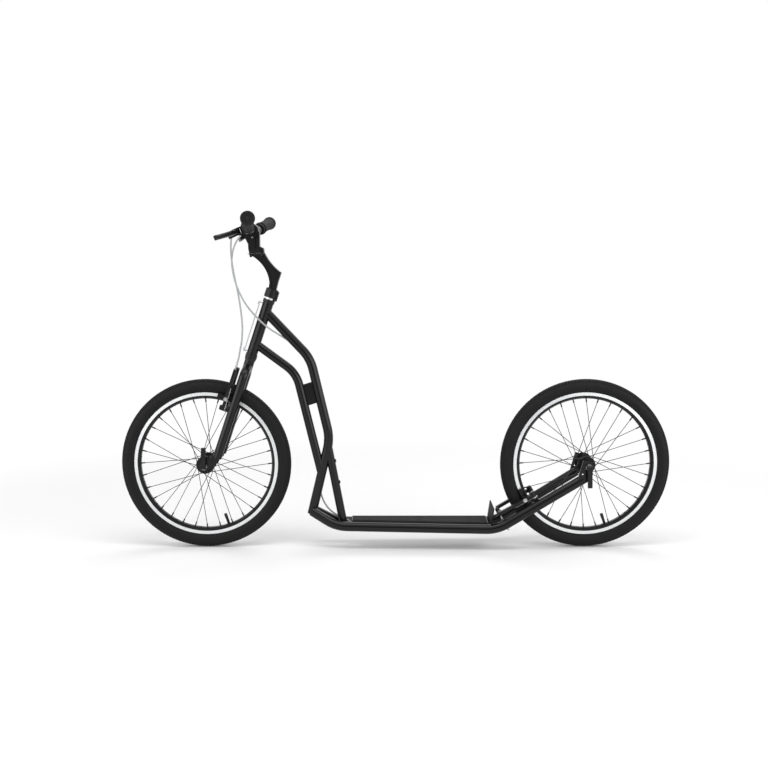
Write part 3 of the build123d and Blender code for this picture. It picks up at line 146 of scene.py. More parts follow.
class NodePainter:
    """Adds and links nodes in one node tree."""

    def __init__(self, tree: bpy.types.NodeTree) -> None:
        """Keeps the tree that nodes are added to."""
        self.tree = tree

    def add(self, kind: str, **settings: object) -> bpy.types.Node:
        """Adds one node.

        Args:
            kind: Blender's name of the node class.
            settings: Attributes to set on the node.

        Returns:
            The new node.
        """
        node = self.tree.nodes.new(kind)
        for name, value in settings.items():
            setattr(node, name, value)
        return node

    def link(self, source: bpy.types.NodeSocket, target: bpy.types.NodeSocket) -> None:
        """Links two sockets."""
        self.tree.links.new(source, target)

    def math(self, operation: str, first: object, second: object = 0.0) -> bpy.types.NodeSocket:
        """Adds a Math node.

        Args:
            operation: Name of the operation.
            first: Socket or number for the first input.
            second: Socket or number for the second input.

        Returns:
            The result's socket.
        """
        node = self.add("ShaderNodeMath", operation=operation)
        for socket, value in zip(node.inputs, (first, second)):
            if isinstance(value, bpy.types.NodeSocket):
                self.link(value, socket)
            else:
                socket.default_value = value
        return node.outputs[0]

    def mix_colour(self, factor: bpy.types.NodeSocket, first: Colour, second: Colour) -> bpy.types.NodeSocket:
        """Mixes two colours.

        Args:
            factor: Socket of the share of the second colour.
            first: Colour at share 0.
            second: Colour at share 1.

        Returns:
            The mixed colour's socket.
        """
        node = self.add("ShaderNodeMix", data_type="RGBA")
        self.link(factor, node.inputs["Factor"])
        node.inputs["A"].default_value = (*first, 1)
        node.inputs["B"].default_value = (*second, 1)
        return node.outputs["Result"]


def seen_directly(painter: NodePainter, rays: bpy.types.Node) -> bpy.types.NodeSocket:
    """Mask of rays that show the background: from the camera, mirrored or seen through glass.

    Args:
        painter: Painter of the tree.
        rays: Its Light Path node.

    Returns:
        The mask's socket.
    """
    seen = painter.math("MAXIMUM", rays.outputs["Is Camera Ray"], rays.outputs["Is Glossy Ray"])
    return painter.math("MAXIMUM", seen, rays.outputs["Is Transmission Ray"])


def new_group(name: str, inputs: dict[str, float], outputs: Iterable[str]) -> tuple[bpy.types.NodeTree, NodePainter]:
    """Empty shader group with float sockets.

    Args:
        name: Group name.
        inputs: Input names with their defaults.
        outputs: Output names.

    Returns:
        The group and a painter for it.
    """
    group = bpy.data.node_groups.new(name, "ShaderNodeTree")
    for label, value in inputs.items():
        socket = group.interface.new_socket(label, in_out="INPUT", socket_type="NodeSocketFloat")
        socket.default_value = value
    for label in outputs:
        group.interface.new_socket(label, in_out="OUTPUT", socket_type="NodeSocketFloat")
    return group, NodePainter(group)


class SurfaceEffects:
    """Node groups that several materials share."""

    def __init__(self) -> None:
        """Builds each group once."""
        self.grain = self._build_grain()
        self.wheel_ring = self._build_wheel_ring()

    @staticmethod
    def _build_grain() -> bpy.types.NodeTree:
        """Fine mottling; puts out a height and a wide, soft mask."""
        group, painter = new_group("fine_grain", {"Scale": 800.0, "Patch Scale": 12.0}, ("Height", "Patches"))
        entry = painter.add("NodeGroupInput")
        leave = painter.add("NodeGroupOutput")
        place = painter.add("ShaderNodeTexCoord")
        fine = painter.add("ShaderNodeTexNoise")
        fine.inputs["Detail"].default_value = 3.0
        wide = painter.add("ShaderNodeTexNoise")
        wide.inputs["Detail"].default_value = 2.0
        for noise, label in ((fine, "Scale"), (wide, "Patch Scale")):
            painter.link(place.outputs["Object"], noise.inputs["Vector"])
            painter.link(entry.outputs[label], noise.inputs["Scale"])
        painter.link(fine.outputs["Fac"], leave.inputs["Height"])
        painter.link(wide.outputs["Fac"], leave.inputs["Patches"])
        return group

    @staticmethod
    def _build_wheel_ring() -> bpy.types.NodeTree:
        """Ring round an axle; puts out its mask and the distance from the axle in metres."""
        defaults = {"Axle X": 0.0, "Axle Z": AXLE_HEIGHT, "Inner": 0.1, "Outer": 0.2, "Softness": 0.0004}
        group, painter = new_group("wheel_ring", defaults, ("Mask", "Distance"))
        entry = painter.add("NodeGroupInput")
        leave = painter.add("NodeGroupOutput")
        place = painter.add("ShaderNodeTexCoord")
        parts = painter.add("ShaderNodeSeparateXYZ")
        painter.link(place.outputs["Object"], parts.inputs[0])
        along = painter.math("SUBTRACT", parts.outputs["X"], entry.outputs["Axle X"])
        high = painter.math("SUBTRACT", parts.outputs["Z"], entry.outputs["Axle Z"])
        squares = painter.math("ADD", painter.math("MULTIPLY", along, along), painter.math("MULTIPLY", high, high))
        distance = painter.math("SQRT", squares)
        inside = painter.math("DIVIDE", painter.math("SUBTRACT", distance, entry.outputs["Inner"]), entry.outputs["Softness"])
        outside = painter.math("DIVIDE", painter.math("SUBTRACT", entry.outputs["Outer"], distance), entry.outputs["Softness"])
        nearer = painter.math("MINIMUM", inside, outside)
        clamp = painter.add("ShaderNodeClamp")
        painter.link(nearer, clamp.inputs["Value"])
        painter.link(clamp.outputs[0], leave.inputs["Mask"])
        painter.link(distance, leave.inputs["Distance"])
        return group


@dataclass(frozen=True)
class Finish:
    """One surface finish: plain values, with a fine grain where grain is above 0."""

    name: str
    slot: str
    colour: Colour
    roughness: float
    metal: Metal = Metal.COATED
    specular: float = 0.5
    coat: float = 0.0
    coat_roughness: float = 0.08
    grain: float = 0.0
    grain_scale: float = 800.0
    patch: float = 0.0

    def material(self, effects: SurfaceEffects) -> bpy.types.Material:
        """Builds the node material.

        Args:
            effects: Shared node groups.

        Returns:
            The material.
        """
        made = bpy.data.materials.new(self.name)
        made.use_nodes = True
        painter = NodePainter(made.node_tree)
        shader = made.node_tree.nodes["Principled BSDF"]
        shader.inputs["Base Color"].default_value = (*self.colour, 1)
        shader.inputs["Roughness"].default_value = self.roughness
        shader.inputs["Metallic"].default_value = self.metal.value
        shader.inputs["Specular IOR Level"].default_value = self.specular
        shader.inputs["Coat Weight"].default_value = self.coat
        shader.inputs["Coat Roughness"].default_value = self.coat_roughness
        if self.grain > 0 or self.patch > 0:
            grain = painter.add("ShaderNodeGroup", node_tree=effects.grain)
            grain.inputs["Scale"].default_value = self.grain_scale
            if self.grain > 0:
                bump = painter.add("ShaderNodeBump")
                bump.inputs["Strength"].default_value = 1.0
                bump.inputs["Distance"].default_value = self.grain
                painter.link(grain.outputs["Height"], bump.inputs["Height"])
                painter.link(bump.outputs["Normal"], shader.inputs["Normal"])
            if self.patch > 0:
                shift = painter.math("MULTIPLY", painter.math("SUBTRACT", grain.outputs["Patches"], 0.5), self.patch)
                painter.link(painter.math("ADD", shift, self.roughness), shader.inputs["Roughness"])
        return made


@dataclass(frozen=True)
class RimFinish:
    """Black rim with a machined braking ring near its edge."""

    name: str
    slot: str
    axle: Vector
    body_colour: Colour = (0.0065, 0.0065, 0.0070)
    ring_colour: Colour = (0.82, 0.83, 0.84)
    ring_inner: float = 0.1990
    ring_outer: float = 0.2085
    groove_pitch: float = 0.0007

    def material(self, effects: SurfaceEffects) -> bpy.types.Material:
        """Builds the node material.

        Args:
            effects: Shared node groups.

        Returns:
            The material.
        """
        made = bpy.data.materials.new(self.name)
        made.use_nodes = True
        painter = NodePainter(made.node_tree)
        shader = made.node_tree.nodes["Principled BSDF"]
        shader.inputs["Specular IOR Level"].default_value = 0.25
        ring = painter.add("ShaderNodeGroup", node_tree=effects.wheel_ring)
        ring.inputs["Axle X"].default_value = self.axle.x
        ring.inputs["Axle Z"].default_value = self.axle.z
        ring.inputs["Inner"].default_value = self.ring_inner
        ring.inputs["Outer"].default_value = self.ring_outer
        mask = ring.outputs["Mask"]
        painter.link(painter.mix_colour(mask, self.body_colour, self.ring_colour), shader.inputs["Base Color"])
        painter.link(painter.math("MULTIPLY", mask, 0.9), shader.inputs["Metallic"])
        painter.link(painter.math("ADD", painter.math("MULTIPLY", mask, 0.1), 0.28), shader.inputs["Roughness"])
        wave = painter.math("SINE", painter.math("MULTIPLY", ring.outputs["Distance"], 2 * pi / self.groove_pitch))
        bump = painter.add("ShaderNodeBump")
        bump.inputs["Strength"].default_value = 0.3
        bump.inputs["Distance"].default_value = 0.0001
        painter.link(painter.math("MULTIPLY", wave, mask), bump.inputs["Height"])
        painter.link(bump.outputs["Normal"], shader.inputs["Normal"])
        return made


class Paintbox:
    """Every finish of the bike, each made into a material once."""

    FINISHES = (
        Finish("frame_paint", "frame_paint", (0.0045, 0.0045, 0.0048), 0.22, specular=0.30, patch=0.04),
        Finish("matt_black", "frame_paint", (0.0060, 0.0060, 0.0060), 0.62, specular=0.08),
        Finish("stem_paint", "black_alloy", (0.0050, 0.0050, 0.0054), 0.36, specular=0.28, patch=0.05),
        Finish("brake_alloy", "black_alloy", (0.0080, 0.0080, 0.0085), 0.36, specular=0.25, patch=0.06),
        Finish("hub_alloy", "black_alloy", (0.0080, 0.0080, 0.0085), 0.32, specular=0.25, patch=0.05),
        Finish("black_bolts", "black_alloy", (0.0120, 0.0120, 0.0125), 0.38, specular=0.3),
        Finish("deck_alloy", "deck_alloy", (0.0090, 0.0090, 0.0090), 0.38, specular=0.3),
        Finish("grip_sheet", "grip_sheet", (0.014, 0.014, 0.015), 0.88, specular=0.2, grain=0.0006, grain_scale=1400.0),
        Finish("steel", "steel", (0.50, 0.50, 0.51), 0.32, Metal.BARE),
        Finish("polished_alloy", "silver_alloy", (0.78, 0.79, 0.80), 0.48, Metal.BARE),
        Finish("spoke_steel", "dark_steel", (0.012, 0.012, 0.013), 0.38, specular=0.3),
        Finish("grip_rubber", "black_rubber", (0.011, 0.011, 0.011), 0.66, specular=0.2, grain=0.0002, grain_scale=1800.0),
        Finish("pad_rubber", "black_rubber", (0.014, 0.014, 0.014), 0.75, specular=0.2, grain=0.0002, grain_scale=1500.0),
        Finish("tyre_rubber", "tyre", (0.0085, 0.0085, 0.0085), 0.60, specular=0.16, grain=0.0004, grain_scale=900.0, patch=0.1),
        Finish("cable_housing", "cable_housing", (0.36, 0.37, 0.38), 0.38),
        Finish("ferrule_black", "black_plastic", (0.010, 0.010, 0.010), 0.45, specular=0.3),
        Finish("pale_plate", "pale_plastic", (0.62, 0.63, 0.65), 0.32),
        Finish("clip_plastic", "black_plastic", (0.010, 0.010, 0.010), 0.55, specular=0.25),
    )

    def __init__(self, effects: SurfaceEffects) -> None:
        """Makes the materials.

        Args:
            effects: Shared node groups.
        """
        self.made: dict[str, bpy.types.Material] = {}
        self.slots: dict[str, str] = {}
        rims = (RimFinish("front_rim_alloy", "rim_alloy", FRONT_AXLE), RimFinish("rear_rim_alloy", "rim_alloy", REAR_AXLE))
        for finish in (*self.FINISHES, *rims):
            self.made[finish.name] = finish.material(effects)
            self.slots[finish.name] = finish.slot

    def dress(self, obj: bpy.types.Object, finish: str) -> None:
        """Gives an object one finish on all its faces.

        Args:
            obj: Mesh object.
            finish: Name of the finish.
        """
        obj.data.materials.clear()
        obj.data.materials.append(self.made[finish])


@dataclass
class Workshop:
    """What every sub-assembly needs: the loaded frame and the finishes."""

    frame: dict
    paints: Paintbox
    built: list[str] = field(default_factory=list)

    def dress_nodes(self, finish: str, *nodes: str) -> None:
        """Gives CAD nodes a finish.

        Args:
            finish: Name of the finish.
            nodes: Names of the CAD nodes.
        """
        for node in nodes:
            self.paints.dress(self.frame["nodes"][node], finish)

    def make(
        self, name: str, build: Callable[[bmesh.types.BMesh], None], finish: str, body: str,
        replaced: Sequence[str] = (), sharp: float = 35.0,
    ) -> bpy.types.Object:
        """Makes one mesh piece that rides on a body.

        Args:
            name: Name of the piece.
            build: Fills an empty bmesh in the row frame.
            finish: Name of its finish.
            body: CAD body that it rides on.
            replaced: CAD nodes that it stands for.
            sharp: Edges over this angle in degrees stay sharp.

        Returns:
            The new object.
        """
        shape = bmesh.new()
        build(shape)
        bmesh.ops.recalc_face_normals(shape, faces=shape.faces)
        mesh = bpy.data.meshes.new(name)
        shape.to_mesh(mesh)
        shape.free()
        mesh.shade_smooth()
        mesh.set_sharp_from_angle(angle=radians(sharp))
        obj = bpy.data.objects.new(name, mesh)
        bpy.context.scene.collection.objects.link(obj)
        self.paints.dress(obj, finish)
        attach(obj, body)
        if replaced:
            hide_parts(*replaced)
        self.built.append(name)
        LOG.info("built %s: %d faces", name, len(mesh.polygons))
        return obj


# Mesh builders


def add_lathe(shape: bmesh.types.BMesh, outline: Outline, centre: Vector, axis: Vector, steps: int, closed: bool = False) -> list:
    """Spins an outline of (along the axis, out from it) once round.

    Args:
        shape: Mesh to add to.
        outline: Points of the outline, as (along, out).
        centre: Point of the axis where along is 0.
        axis: Direction of the axis.
        steps: Number of segments round.
        closed: Whether the outline's ends are joined.

    Returns:
        The faces made by the spin.
    """
    unit = axis.normalized()
    out = unit.orthogonal().normalized()
    verts = [shape.verts.new(centre + unit * along + out * away) for along, away in outline]
    edges = [shape.edges.new(pair) for pair in zip(verts, verts[1:])]
    if closed:
        edges.append(shape.edges.new((verts[-1], verts[0])))
    before = set(shape.faces)
    bmesh.ops.spin(
        shape, geom=verts + edges, cent=centre, axis=unit, dvec=(0, 0, 0), angle=2 * pi, steps=steps,
        use_merge=True, use_duplicate=False,
    )
    bmesh.ops.remove_doubles(shape, verts=shape.verts, dist=1e-6)
    return [face for face in shape.faces if face not in before]


def add_rod(shape: bmesh.types.BMesh, start: Vector, end: Vector, radius: float, segments: int = 24, bevel: float = 0.0) -> None:
    """Adds a round bar between two points.

    Args:
        shape: Mesh to add to.
        start: Centre of the first end.
        end: Centre of the other end.
        radius: Radius of the bar.
        segments: Number of sides.
        bevel: Width of the rounding of both ends, 0 for none.
    """
    run = end - start
    turn = run.to_track_quat("Z", "Y").to_matrix().to_4x4()
    made = bmesh.ops.create_cone(
        shape, cap_ends=True, cap_tris=False, segments=segments, radius1=radius, radius2=radius, depth=run.length,
        matrix=Matrix.Translation((start + end) / 2) @ turn,
    )
    if bevel > 0:
        rims = [edge for edge in {e for vert in made["verts"] for e in vert.link_edges} if is_cap_edge(edge)]
        round_edges(shape, rims, bevel, 2)


def is_cap_edge(edge: bmesh.types.BMEdge) -> bool:
    """Whether an edge borders a face with many corners, such as a bar's end."""
    return any(len(face.verts) > 4 for face in edge.link_faces)


def round_edges(shape: bmesh.types.BMesh, edges: list, width: float, segments: int) -> None:
    """Rounds edges.

    Args:
        shape: Mesh that holds the edges.
        edges: Edges to round.
        width: Width of the rounding.
        segments: Number of faces across it.
    """
    bmesh.ops.bevel(
        shape, geom=edges, offset=width, offset_type="OFFSET", affect="EDGES", segments=segments, profile=0.5,
        material=-1, clamp_overlap=True,
    )


def add_plate(shape: bmesh.types.BMesh, outline: Outline, low: float, high: float, place: Matrix, bevel: float, segments: int = 3) -> None:
    """Adds a plate with rounded edges from its outline.

    Args:
        shape: Mesh to add to.
        outline: Corners in local X and Y.
        low: Local Z of the lower face.
        high: Local Z of the upper face.
        place: Placing matrix.
        bevel: Width of the rounding, 0 for none.
        segments: Number of faces across the rounding.
    """
    verts = [shape.verts.new(place @ Vector((x, y, low))) for x, y in outline]
    face = shape.faces.new(verts)
    lift = place.to_3x3() @ Vector((0, 0, high - low))
    grown = bmesh.ops.extrude_face_region(shape, geom=[face], use_keep_orig=True)
    top = [item for item in grown["geom"] if isinstance(item, bmesh.types.BMVert)]
    bmesh.ops.translate(shape, verts=top, vec=lift)
    if bevel > 0:
        edges = {edge for vert in verts + top for edge in vert.link_edges}
        round_edges(shape, list(edges), bevel, segments)


def smooth_line(name: str, points: Sequence[Vector], radius: float, sides: int = 4, fineness: int = 8) -> bpy.types.Mesh:
    """Round tube along a smooth NURBS line.

    Args:
        name: Name of the mesh.
        points: Control points of the line.
        radius: Radius of the tube.
        sides: Bevel resolution round the tube.
        fineness: Steps along each span.

    Returns:
        The tube as a mesh with closed ends.
    """
    curve = bpy.data.curves.new(name, "CURVE")
    curve.dimensions = "3D"
    curve.resolution_u = fineness
    curve.bevel_depth = radius
    curve.bevel_resolution = sides
    curve.use_fill_caps = True
    line = curve.splines.new("NURBS")
    line.points.add(len(points) - 1)
    for slot, point in zip(line.points, points):
        slot.co = (*point, 1)
    line.order_u = 4
    line.use_endpoint_u = True
    holder = bpy.data.objects.new(name, curve)
    bpy.context.scene.collection.objects.link(holder)
    bpy.context.view_layer.update()
    graph = bpy.context.evaluated_depsgraph_get()
    mesh = bpy.data.meshes.new_from_object(holder.evaluated_get(graph), depsgraph=graph)
    bpy.data.objects.remove(holder)
    mesh.name = name
    mesh.shade_smooth()
    return mesh


# The wheels


@dataclass
class Wheel:
    """One 20-inch wheel: tyre with a fine tread, rim, spokes, hub and valve cap."""

    shop: Workshop
    end: End
    axle: Vector
    tyre_radius: float = 0.2464
    section_radius: float = 0.021
    wall: float = 0.003
    bead_radius: float = 0.2035
    flange_radius: float = 0.2093
    bead_half_width: float = 0.0098
    tread_half_angle: float = radians(50)
    tread_ribs: int = 7
    tread_blocks: int = 150
    tread_gap: float = 0.0009
    tread_depth: float = 0.0012
    valve_angle: float = radians(-71.0)
    valve_tip: float = 0.160
    valve_cap_radius: float = 0.0046
    spoke_count: int = 32
    spoke_radius: float = 0.00095
    spoke_crosses: int = 3
    spoke_hub_radius: float = 0.022
    spoke_rim_radius: float = 0.1916
    spoke_rim_y: float = 0.0022
    flange_y: float = 0.031
    elbow_offsets: tuple[float, float] = (0.00455, 0.0026)
    elbow_run: float = 0.00615
    nipple_radius: float = 0.002
    nipple_length: float = 0.013

    @property
    def body(self) -> str:
        """Body of this wheel."""
        return f"{self.end.value}_wheel"

    def node(self, part: str) -> str:
        """CAD node of this wheel."""
        return f"{self.end.value}_{part}"

    def build(self) -> None:
        """Builds and dresses the wheel."""
        self.shop.make(self.node("tyre_cover"), self._tyre, "tyre_rubber", self.body, [self.node("tyre")], sharp=38)
        self.shop.make(self.node("valve_cap"), self._valve_cap, "ferrule_black", self.body)
        self.shop.dress_nodes("tyre_rubber", self.node("inner_tube"))
        self.shop.dress_nodes(self.node("rim_alloy"), self.node("rim"))
        self.shop.make(self.node("spoke_set"), self._spokes, "spoke_steel", self.body, [self.node("spokes")])
        self.shop.dress_nodes("hub_alloy", self.node("hub"))
        self.shop.dress_nodes("steel", self.node("hub_bearings"), self.node("axle"))

    def _tyre(self, shape: bmesh.types.BMesh) -> None:
        """Spins the tyre's section and raises its tread blocks."""
        centre = self.tyre_radius - self.section_radius
        base = self.section_radius - self.tread_depth
        outline: list[tuple[float, float]] = [(-self.bead_half_width, self.bead_radius), (-self.bead_half_width, self.flange_radius)]
        angles = [radians(a) for a in (-138, -120, -102, -84, -68, -57)]
        crown = [-self.tread_half_angle + 2 * self.tread_half_angle * i / self.tread_ribs for i in range(self.tread_ribs + 1)]
        for angle in angles:
            reach = self.section_radius if abs(angle) > radians(60) else base + 0.0004
            outline.append((reach * sin(angle), centre + reach * cos(angle)))
        outline += [(base * sin(angle), centre + base * cos(angle)) for angle in crown]
        for angle in reversed(angles):
            reach = self.section_radius if abs(angle) > radians(60) else base + 0.0004
            outline.append((-reach * sin(angle), centre + reach * cos(angle)))
        outline += [(self.bead_half_width, self.flange_radius), (self.bead_half_width, self.bead_radius)]
        outline.append((0.0055, self.bead_radius))
        inner = self.section_radius - self.wall
        for degrees_round in (140, 100, 60, 20, -20, -60, -100, -140):
            angle = radians(degrees_round)
            outline.append((inner * sin(angle) * 0.98, centre + inner * cos(angle)))
        outline.append((-0.0055, self.bead_radius))
        faces = add_lathe(shape, outline, self.axle, ACROSS, self.tread_blocks, closed=True)
        bmesh.ops.recalc_face_normals(shape, faces=shape.faces)
        tread = [face for face in faces if self._on_tread(face.calc_center_median())]
        bmesh.ops.inset_individual(shape, faces=tread, thickness=self.tread_gap, depth=self.tread_depth, use_even_offset=True)

    def _on_tread(self, point: Vector) -> bool:
        """Whether a point of the tyre lies on the base of the tread."""
        away = hypot(point.x - self.axle.x, point.z - self.axle.z) - (self.tyre_radius - self.section_radius)
        lean = abs(point.y) / max(away, 1e-6)
        on_surface = hypot(away, point.y) > self.section_radius - self.tread_depth - 0.0006
        return away > 0 and on_surface and lean < 1.05

    def _spokes(self, shape: bmesh.types.BMesh) -> None:
        """Crossed spokes with elbow, head and nipple, spread evenly along the rim."""
        step = 4 * pi / self.spoke_count
        for index in range(self.spoke_count):
            side = 1 if index % 2 else -1
            lead = 1 if index // 2 % 2 else -1
            hub_angle = (index // 2 + (0.5 if side > 0 else 0)) * step
            rim_angle = hub_angle + lead * self.spoke_crosses * step
            standoff = self.elbow_offsets[0 if lead > 0 else 1]
            hub_out = Vector((cos(hub_angle), 0, sin(hub_angle)))
            rim_out = Vector((cos(rim_angle), 0, sin(rim_angle)))
            elbow = self.axle + hub_out * self.spoke_hub_radius + ACROSS * side * (self.flange_y + lead * standoff)
            seat = self.axle + rim_out * self.spoke_rim_radius + ACROSS * side * self.spoke_rim_y
            head = elbow - ACROSS * side * lead * self.elbow_run
            along = (seat - elbow).normalized()
            add_rod(shape, elbow, seat, self.spoke_radius, segments=10)
            add_rod(shape, elbow, head, self.spoke_radius, segments=10)
            add_rod(shape, head, head - ACROSS * side * lead * 0.0012, 2 * self.spoke_radius, segments=10)
            add_rod(shape, seat - along * self.nipple_length, seat, self.nipple_radius, segments=10, bevel=0.0004)

    def _valve_cap(self, shape: bmesh.types.BMesh) -> None:
        """Small cap on the valve."""
        out = Vector((cos(self.valve_angle), 0, sin(self.valve_angle)))
        tip = self.axle + out * (self.valve_tip - 0.0015)
        start = self.axle + out * (self.valve_tip + 0.012)
        add_rod(shape, tip, start, self.valve_cap_radius, segments=12, bevel=0.0008)


# Steering


@dataclass
class Steering:
    """Fork, headset, stem and handlebar."""

    shop: Workshop
    grip_start: float = 0.160
    grip_length: float = 0.132
    grip_radius: float = 0.0166
    grip_flange_radius: float = 0.0188
    grip_end_radius: float = 0.0196
    rib_count: int = 16

    def build(self) -> None:
        """Dresses the CAD nodes and builds the grips."""
        shop = self.shop
        shop.dress_nodes("frame_paint", "fork_steerer", "fork_blades", "fork_dropouts", "front_brake_pivots")
        shop.dress_nodes("stem_paint", "stem_neck", "stem_head", "handlebar")
        shop.dress_nodes("matt_black", "lever_brackets")
        shop.dress_nodes("black_bolts", "headset_race", "stem_bolts")
        shop.dress_nodes("polished_alloy", "headset_spacer")
        shop.make("ribbed_grips", self._grips, "grip_rubber", "steering", ["grips"], sharp=40)
        shop.make("steerer_cap", self._steerer_cap, "stem_paint", "steering")
        shop.make("stem_pin_caps", self._pin_caps, "steel", "steering")

    @staticmethod
    def bar_at(y: float) -> Vector:
        """Centre line of the bar beyond its bend, at a distance from the centre."""
        start = Vector((-0.410, 0.100, 0.917))
        end = Vector((-0.388, 0.288, 0.944))
        share = (abs(y) - start.y) / (end.y - start.y)
        spot = start.lerp(end, share)
        return Vector((spot.x, y, spot.z))

    def _grips(self, shape: bmesh.types.BMesh) -> None:
        """Both grips, with shallow ribs, an inner flange and a ringed end."""
        for side in Side:
            start = self.bar_at(side.value * self.grip_start)
            end = self.bar_at(side.value * (self.grip_start + self.grip_length))
            length = (end - start).length
            bore = 0.0112
            outline = [(0.0, bore), (0.0, self.grip_flange_radius - 0.001), (0.001, self.grip_flange_radius)]
            outline += [(0.005, self.grip_flange_radius), (0.0065, self.grip_radius)]
            step = (length - 0.03) / self.rib_count
            for index in range(self.rib_count):
                low = 0.012 + index * step
                outline += [(low, self.grip_radius), (low + step * 0.62, self.grip_radius)]
                outline += [(low + step * 0.72, self.grip_radius - 0.0009), (low + step * 0.9, self.grip_radius - 0.0009)]
            outline += [(length - 0.0125, self.grip_radius), (length - 0.009, self.grip_end_radius)]
            outline += [(length - 0.0015, self.grip_end_radius), (length, self.grip_end_radius - 0.0015)]
            for ring in (0.0135, 0.0100, 0.0065):
                outline += [(length, ring + 0.0009), (length - 0.0009, ring + 0.0004), (length - 0.0009, ring - 0.0004)]
                outline += [(length, ring - 0.0009)]
            outline.append((length, 0.0))
            add_lathe(shape, outline, start, end - start, 40)

    @staticmethod
    def _steerer_cap(shape: bmesh.types.BMesh) -> None:
        """Low cap that closes the top of the neck's clamp."""
        add_rod(shape, steer(0, 0, 0.5405), steer(0, 0, 0.5425), 0.0150, bevel=0.0008)


    @staticmethod
    def _pin_caps(shape: bmesh.types.BMesh) -> None:
        """Bright ends of the pin through the stem's head."""
        for side in Side:
            face = Vector((-0.4075, side.value * 0.016, 0.899))
            add_rod(shape, face, face + ACROSS * side.value * 0.0006, 0.0034, bevel=0.0002)


@dataclass
class BrakeLever:
    """One brake lever: a rounded blade that swings in its own tilted plane."""

    shop: Workshop
    side: Side
    drop: float = radians(22.5)
    mount_y: float = 0.148
    pivot_reach: float = 0.033
    tip_reach: float = 0.082
    tip_y: float = 0.262
    thickness: float = 0.013

    def build(self) -> None:
        """Builds the blade."""
        name = self.side.name.lower()
        self.shop.make(f"{name}_lever_blade", self._blade, "brake_alloy", f"lever_{name}", [f"brake_lever_{name}"], sharp=50)

    def place(self) -> Matrix:
        """Placing matrix: X is the reach from the bar, Y goes outwards along it."""
        base = Steering.bar_at(self.side.value * self.mount_y)
        forward = Vector((-cos(self.drop), 0, -sin(self.drop)))
        return on_axes(Vector((base.x, 0, base.z)), forward, ACROSS * self.side.value)

    def _blade(self, shape: bmesh.types.BMesh) -> None:
        """Curved blade with rounded edges and its pivot boss."""
        reach = self.pivot_reach
        mount = self.mount_y
        outline = [
            (reach - 0.006, mount - 0.004), (reach - 0.005, mount + 0.012), (reach + 0.004, mount + 0.030),
            (reach + 0.0125, mount + 0.046), (reach + 0.0225, mount + 0.067), (reach + 0.0315, mount + 0.088),
            (self.tip_reach - 0.0090, self.tip_y - 0.002), (self.tip_reach - 0.006, self.tip_y + 0.001),
            (self.tip_reach - 0.001, self.tip_y + 0.001), (self.tip_reach + 0.001, self.tip_y - 0.005),
            (reach + 0.0415, mount + 0.082), (reach + 0.0330, mount + 0.060), (reach + 0.0250, mount + 0.038),
            (reach + 0.0220, mount + 0.012), (reach + 0.0195, mount - 0.004),
        ]
        half = self.thickness / 2
        place = self.place()
        add_plate(shape, outline, -half, half, place, 0.0024, 3)
        add_rod(shape, place @ Vector((reach, mount, -half)), place @ Vector((reach, mount, half)), 0.007, bevel=0.001)


@dataclass
class RimBrake:
    """One rim brake: two rounded arms with springs and bolts, pads, pipe, boot and wire."""

    shop: Workshop
    end: End
    origin: Vector
    across: Vector
    outward: Vector
    parent: str
    pivot_side: float = 0.040
    pivot_out: float = 0.176
    pad_out: float = 0.2035
    arm_length: float = 0.112
    thickness: float = 0.009

    def place(self) -> Matrix:
        """Placing matrix: X across the bike, Y out from the axle."""
        return on_axes(self.origin, self.across, self.outward)

    def sign(self, side: Side) -> int:
        """Local X sign of the arm on one side of the bike."""
        return round(self.across.y) * side.value

    def build(self) -> None:
        """Builds each arm's bolts and spring and dresses the rest."""
        end = self.end.value
        for side in Side:
            name = side.name.lower()
            body = f"{end}_brake_{name}"
            self.shop.make(f"{end}_{name}_arm_bolts", self._bolts(side), "steel", body)
            self.shop.make(f"{end}_{name}_arm_spring", self._spring(side), "steel", body)
            self.shop.dress_nodes("brake_alloy", f"{end}_arm_{name}")
            self.shop.dress_nodes("pad_rubber", f"{end}_pad_{name}")
        self.shop.dress_nodes("steel", f"{end}_noodle")
        self.shop.dress_nodes("pad_rubber", f"{end}_brake_wire")
        self.shop.dress_nodes("frame_paint", f"{end}_brake_pivots")

    def _bolts(self, side: Side) -> Callable[[bmesh.types.BMesh], None]:
        """Builder of one arm's pad nut and washer."""

        def fill(shape: bmesh.types.BMesh) -> None:
            """Adds the washer and the hexagon nut."""
            place = self.place()
            sign = self.sign(side)
            foot = self.pivot_side + 0.0072
            add_rod(shape, place @ Vector((sign * foot, self.pad_out, 0)), place @ Vector((sign * (foot + 0.0015), self.pad_out, 0)), 0.0062)
            add_rod(
                shape, place @ Vector((sign * (foot + 0.0015), self.pad_out, 0)),
                place @ Vector((sign * (foot + 0.0060), self.pad_out, 0)), 0.0054, segments=6,
            )

        return fill

    def _spring(self, side: Side) -> Callable[[bmesh.types.BMesh], None]:
        """Builder of one arm's return spring."""

        def fill(shape: bmesh.types.BMesh) -> None:
            """Adds the spring's straight leg and its coil turns."""
            place = self.place()
            sign = self.sign(side)
            for index in range(3):
                level = -0.0078 + index * 0.0011
                ring = [(level - 0.0004, 0.0088), (level, 0.0092), (level + 0.0004, 0.0088), (level, 0.0084)]
                centre = place @ Vector((sign * self.pivot_side, self.pivot_out, 0))
                add_lathe(shape, ring, centre, self.across.cross(self.outward), 24, closed=True)
            foot = Vector((sign * (self.pivot_side + 0.0088), self.pivot_out, -0.0062))
            tip = Vector((sign * (self.pivot_side + 0.0110), self.pivot_out + 0.062, -0.0056))
            add_rod(shape, place @ foot, place @ tip, 0.0006, segments=8)

        return fill


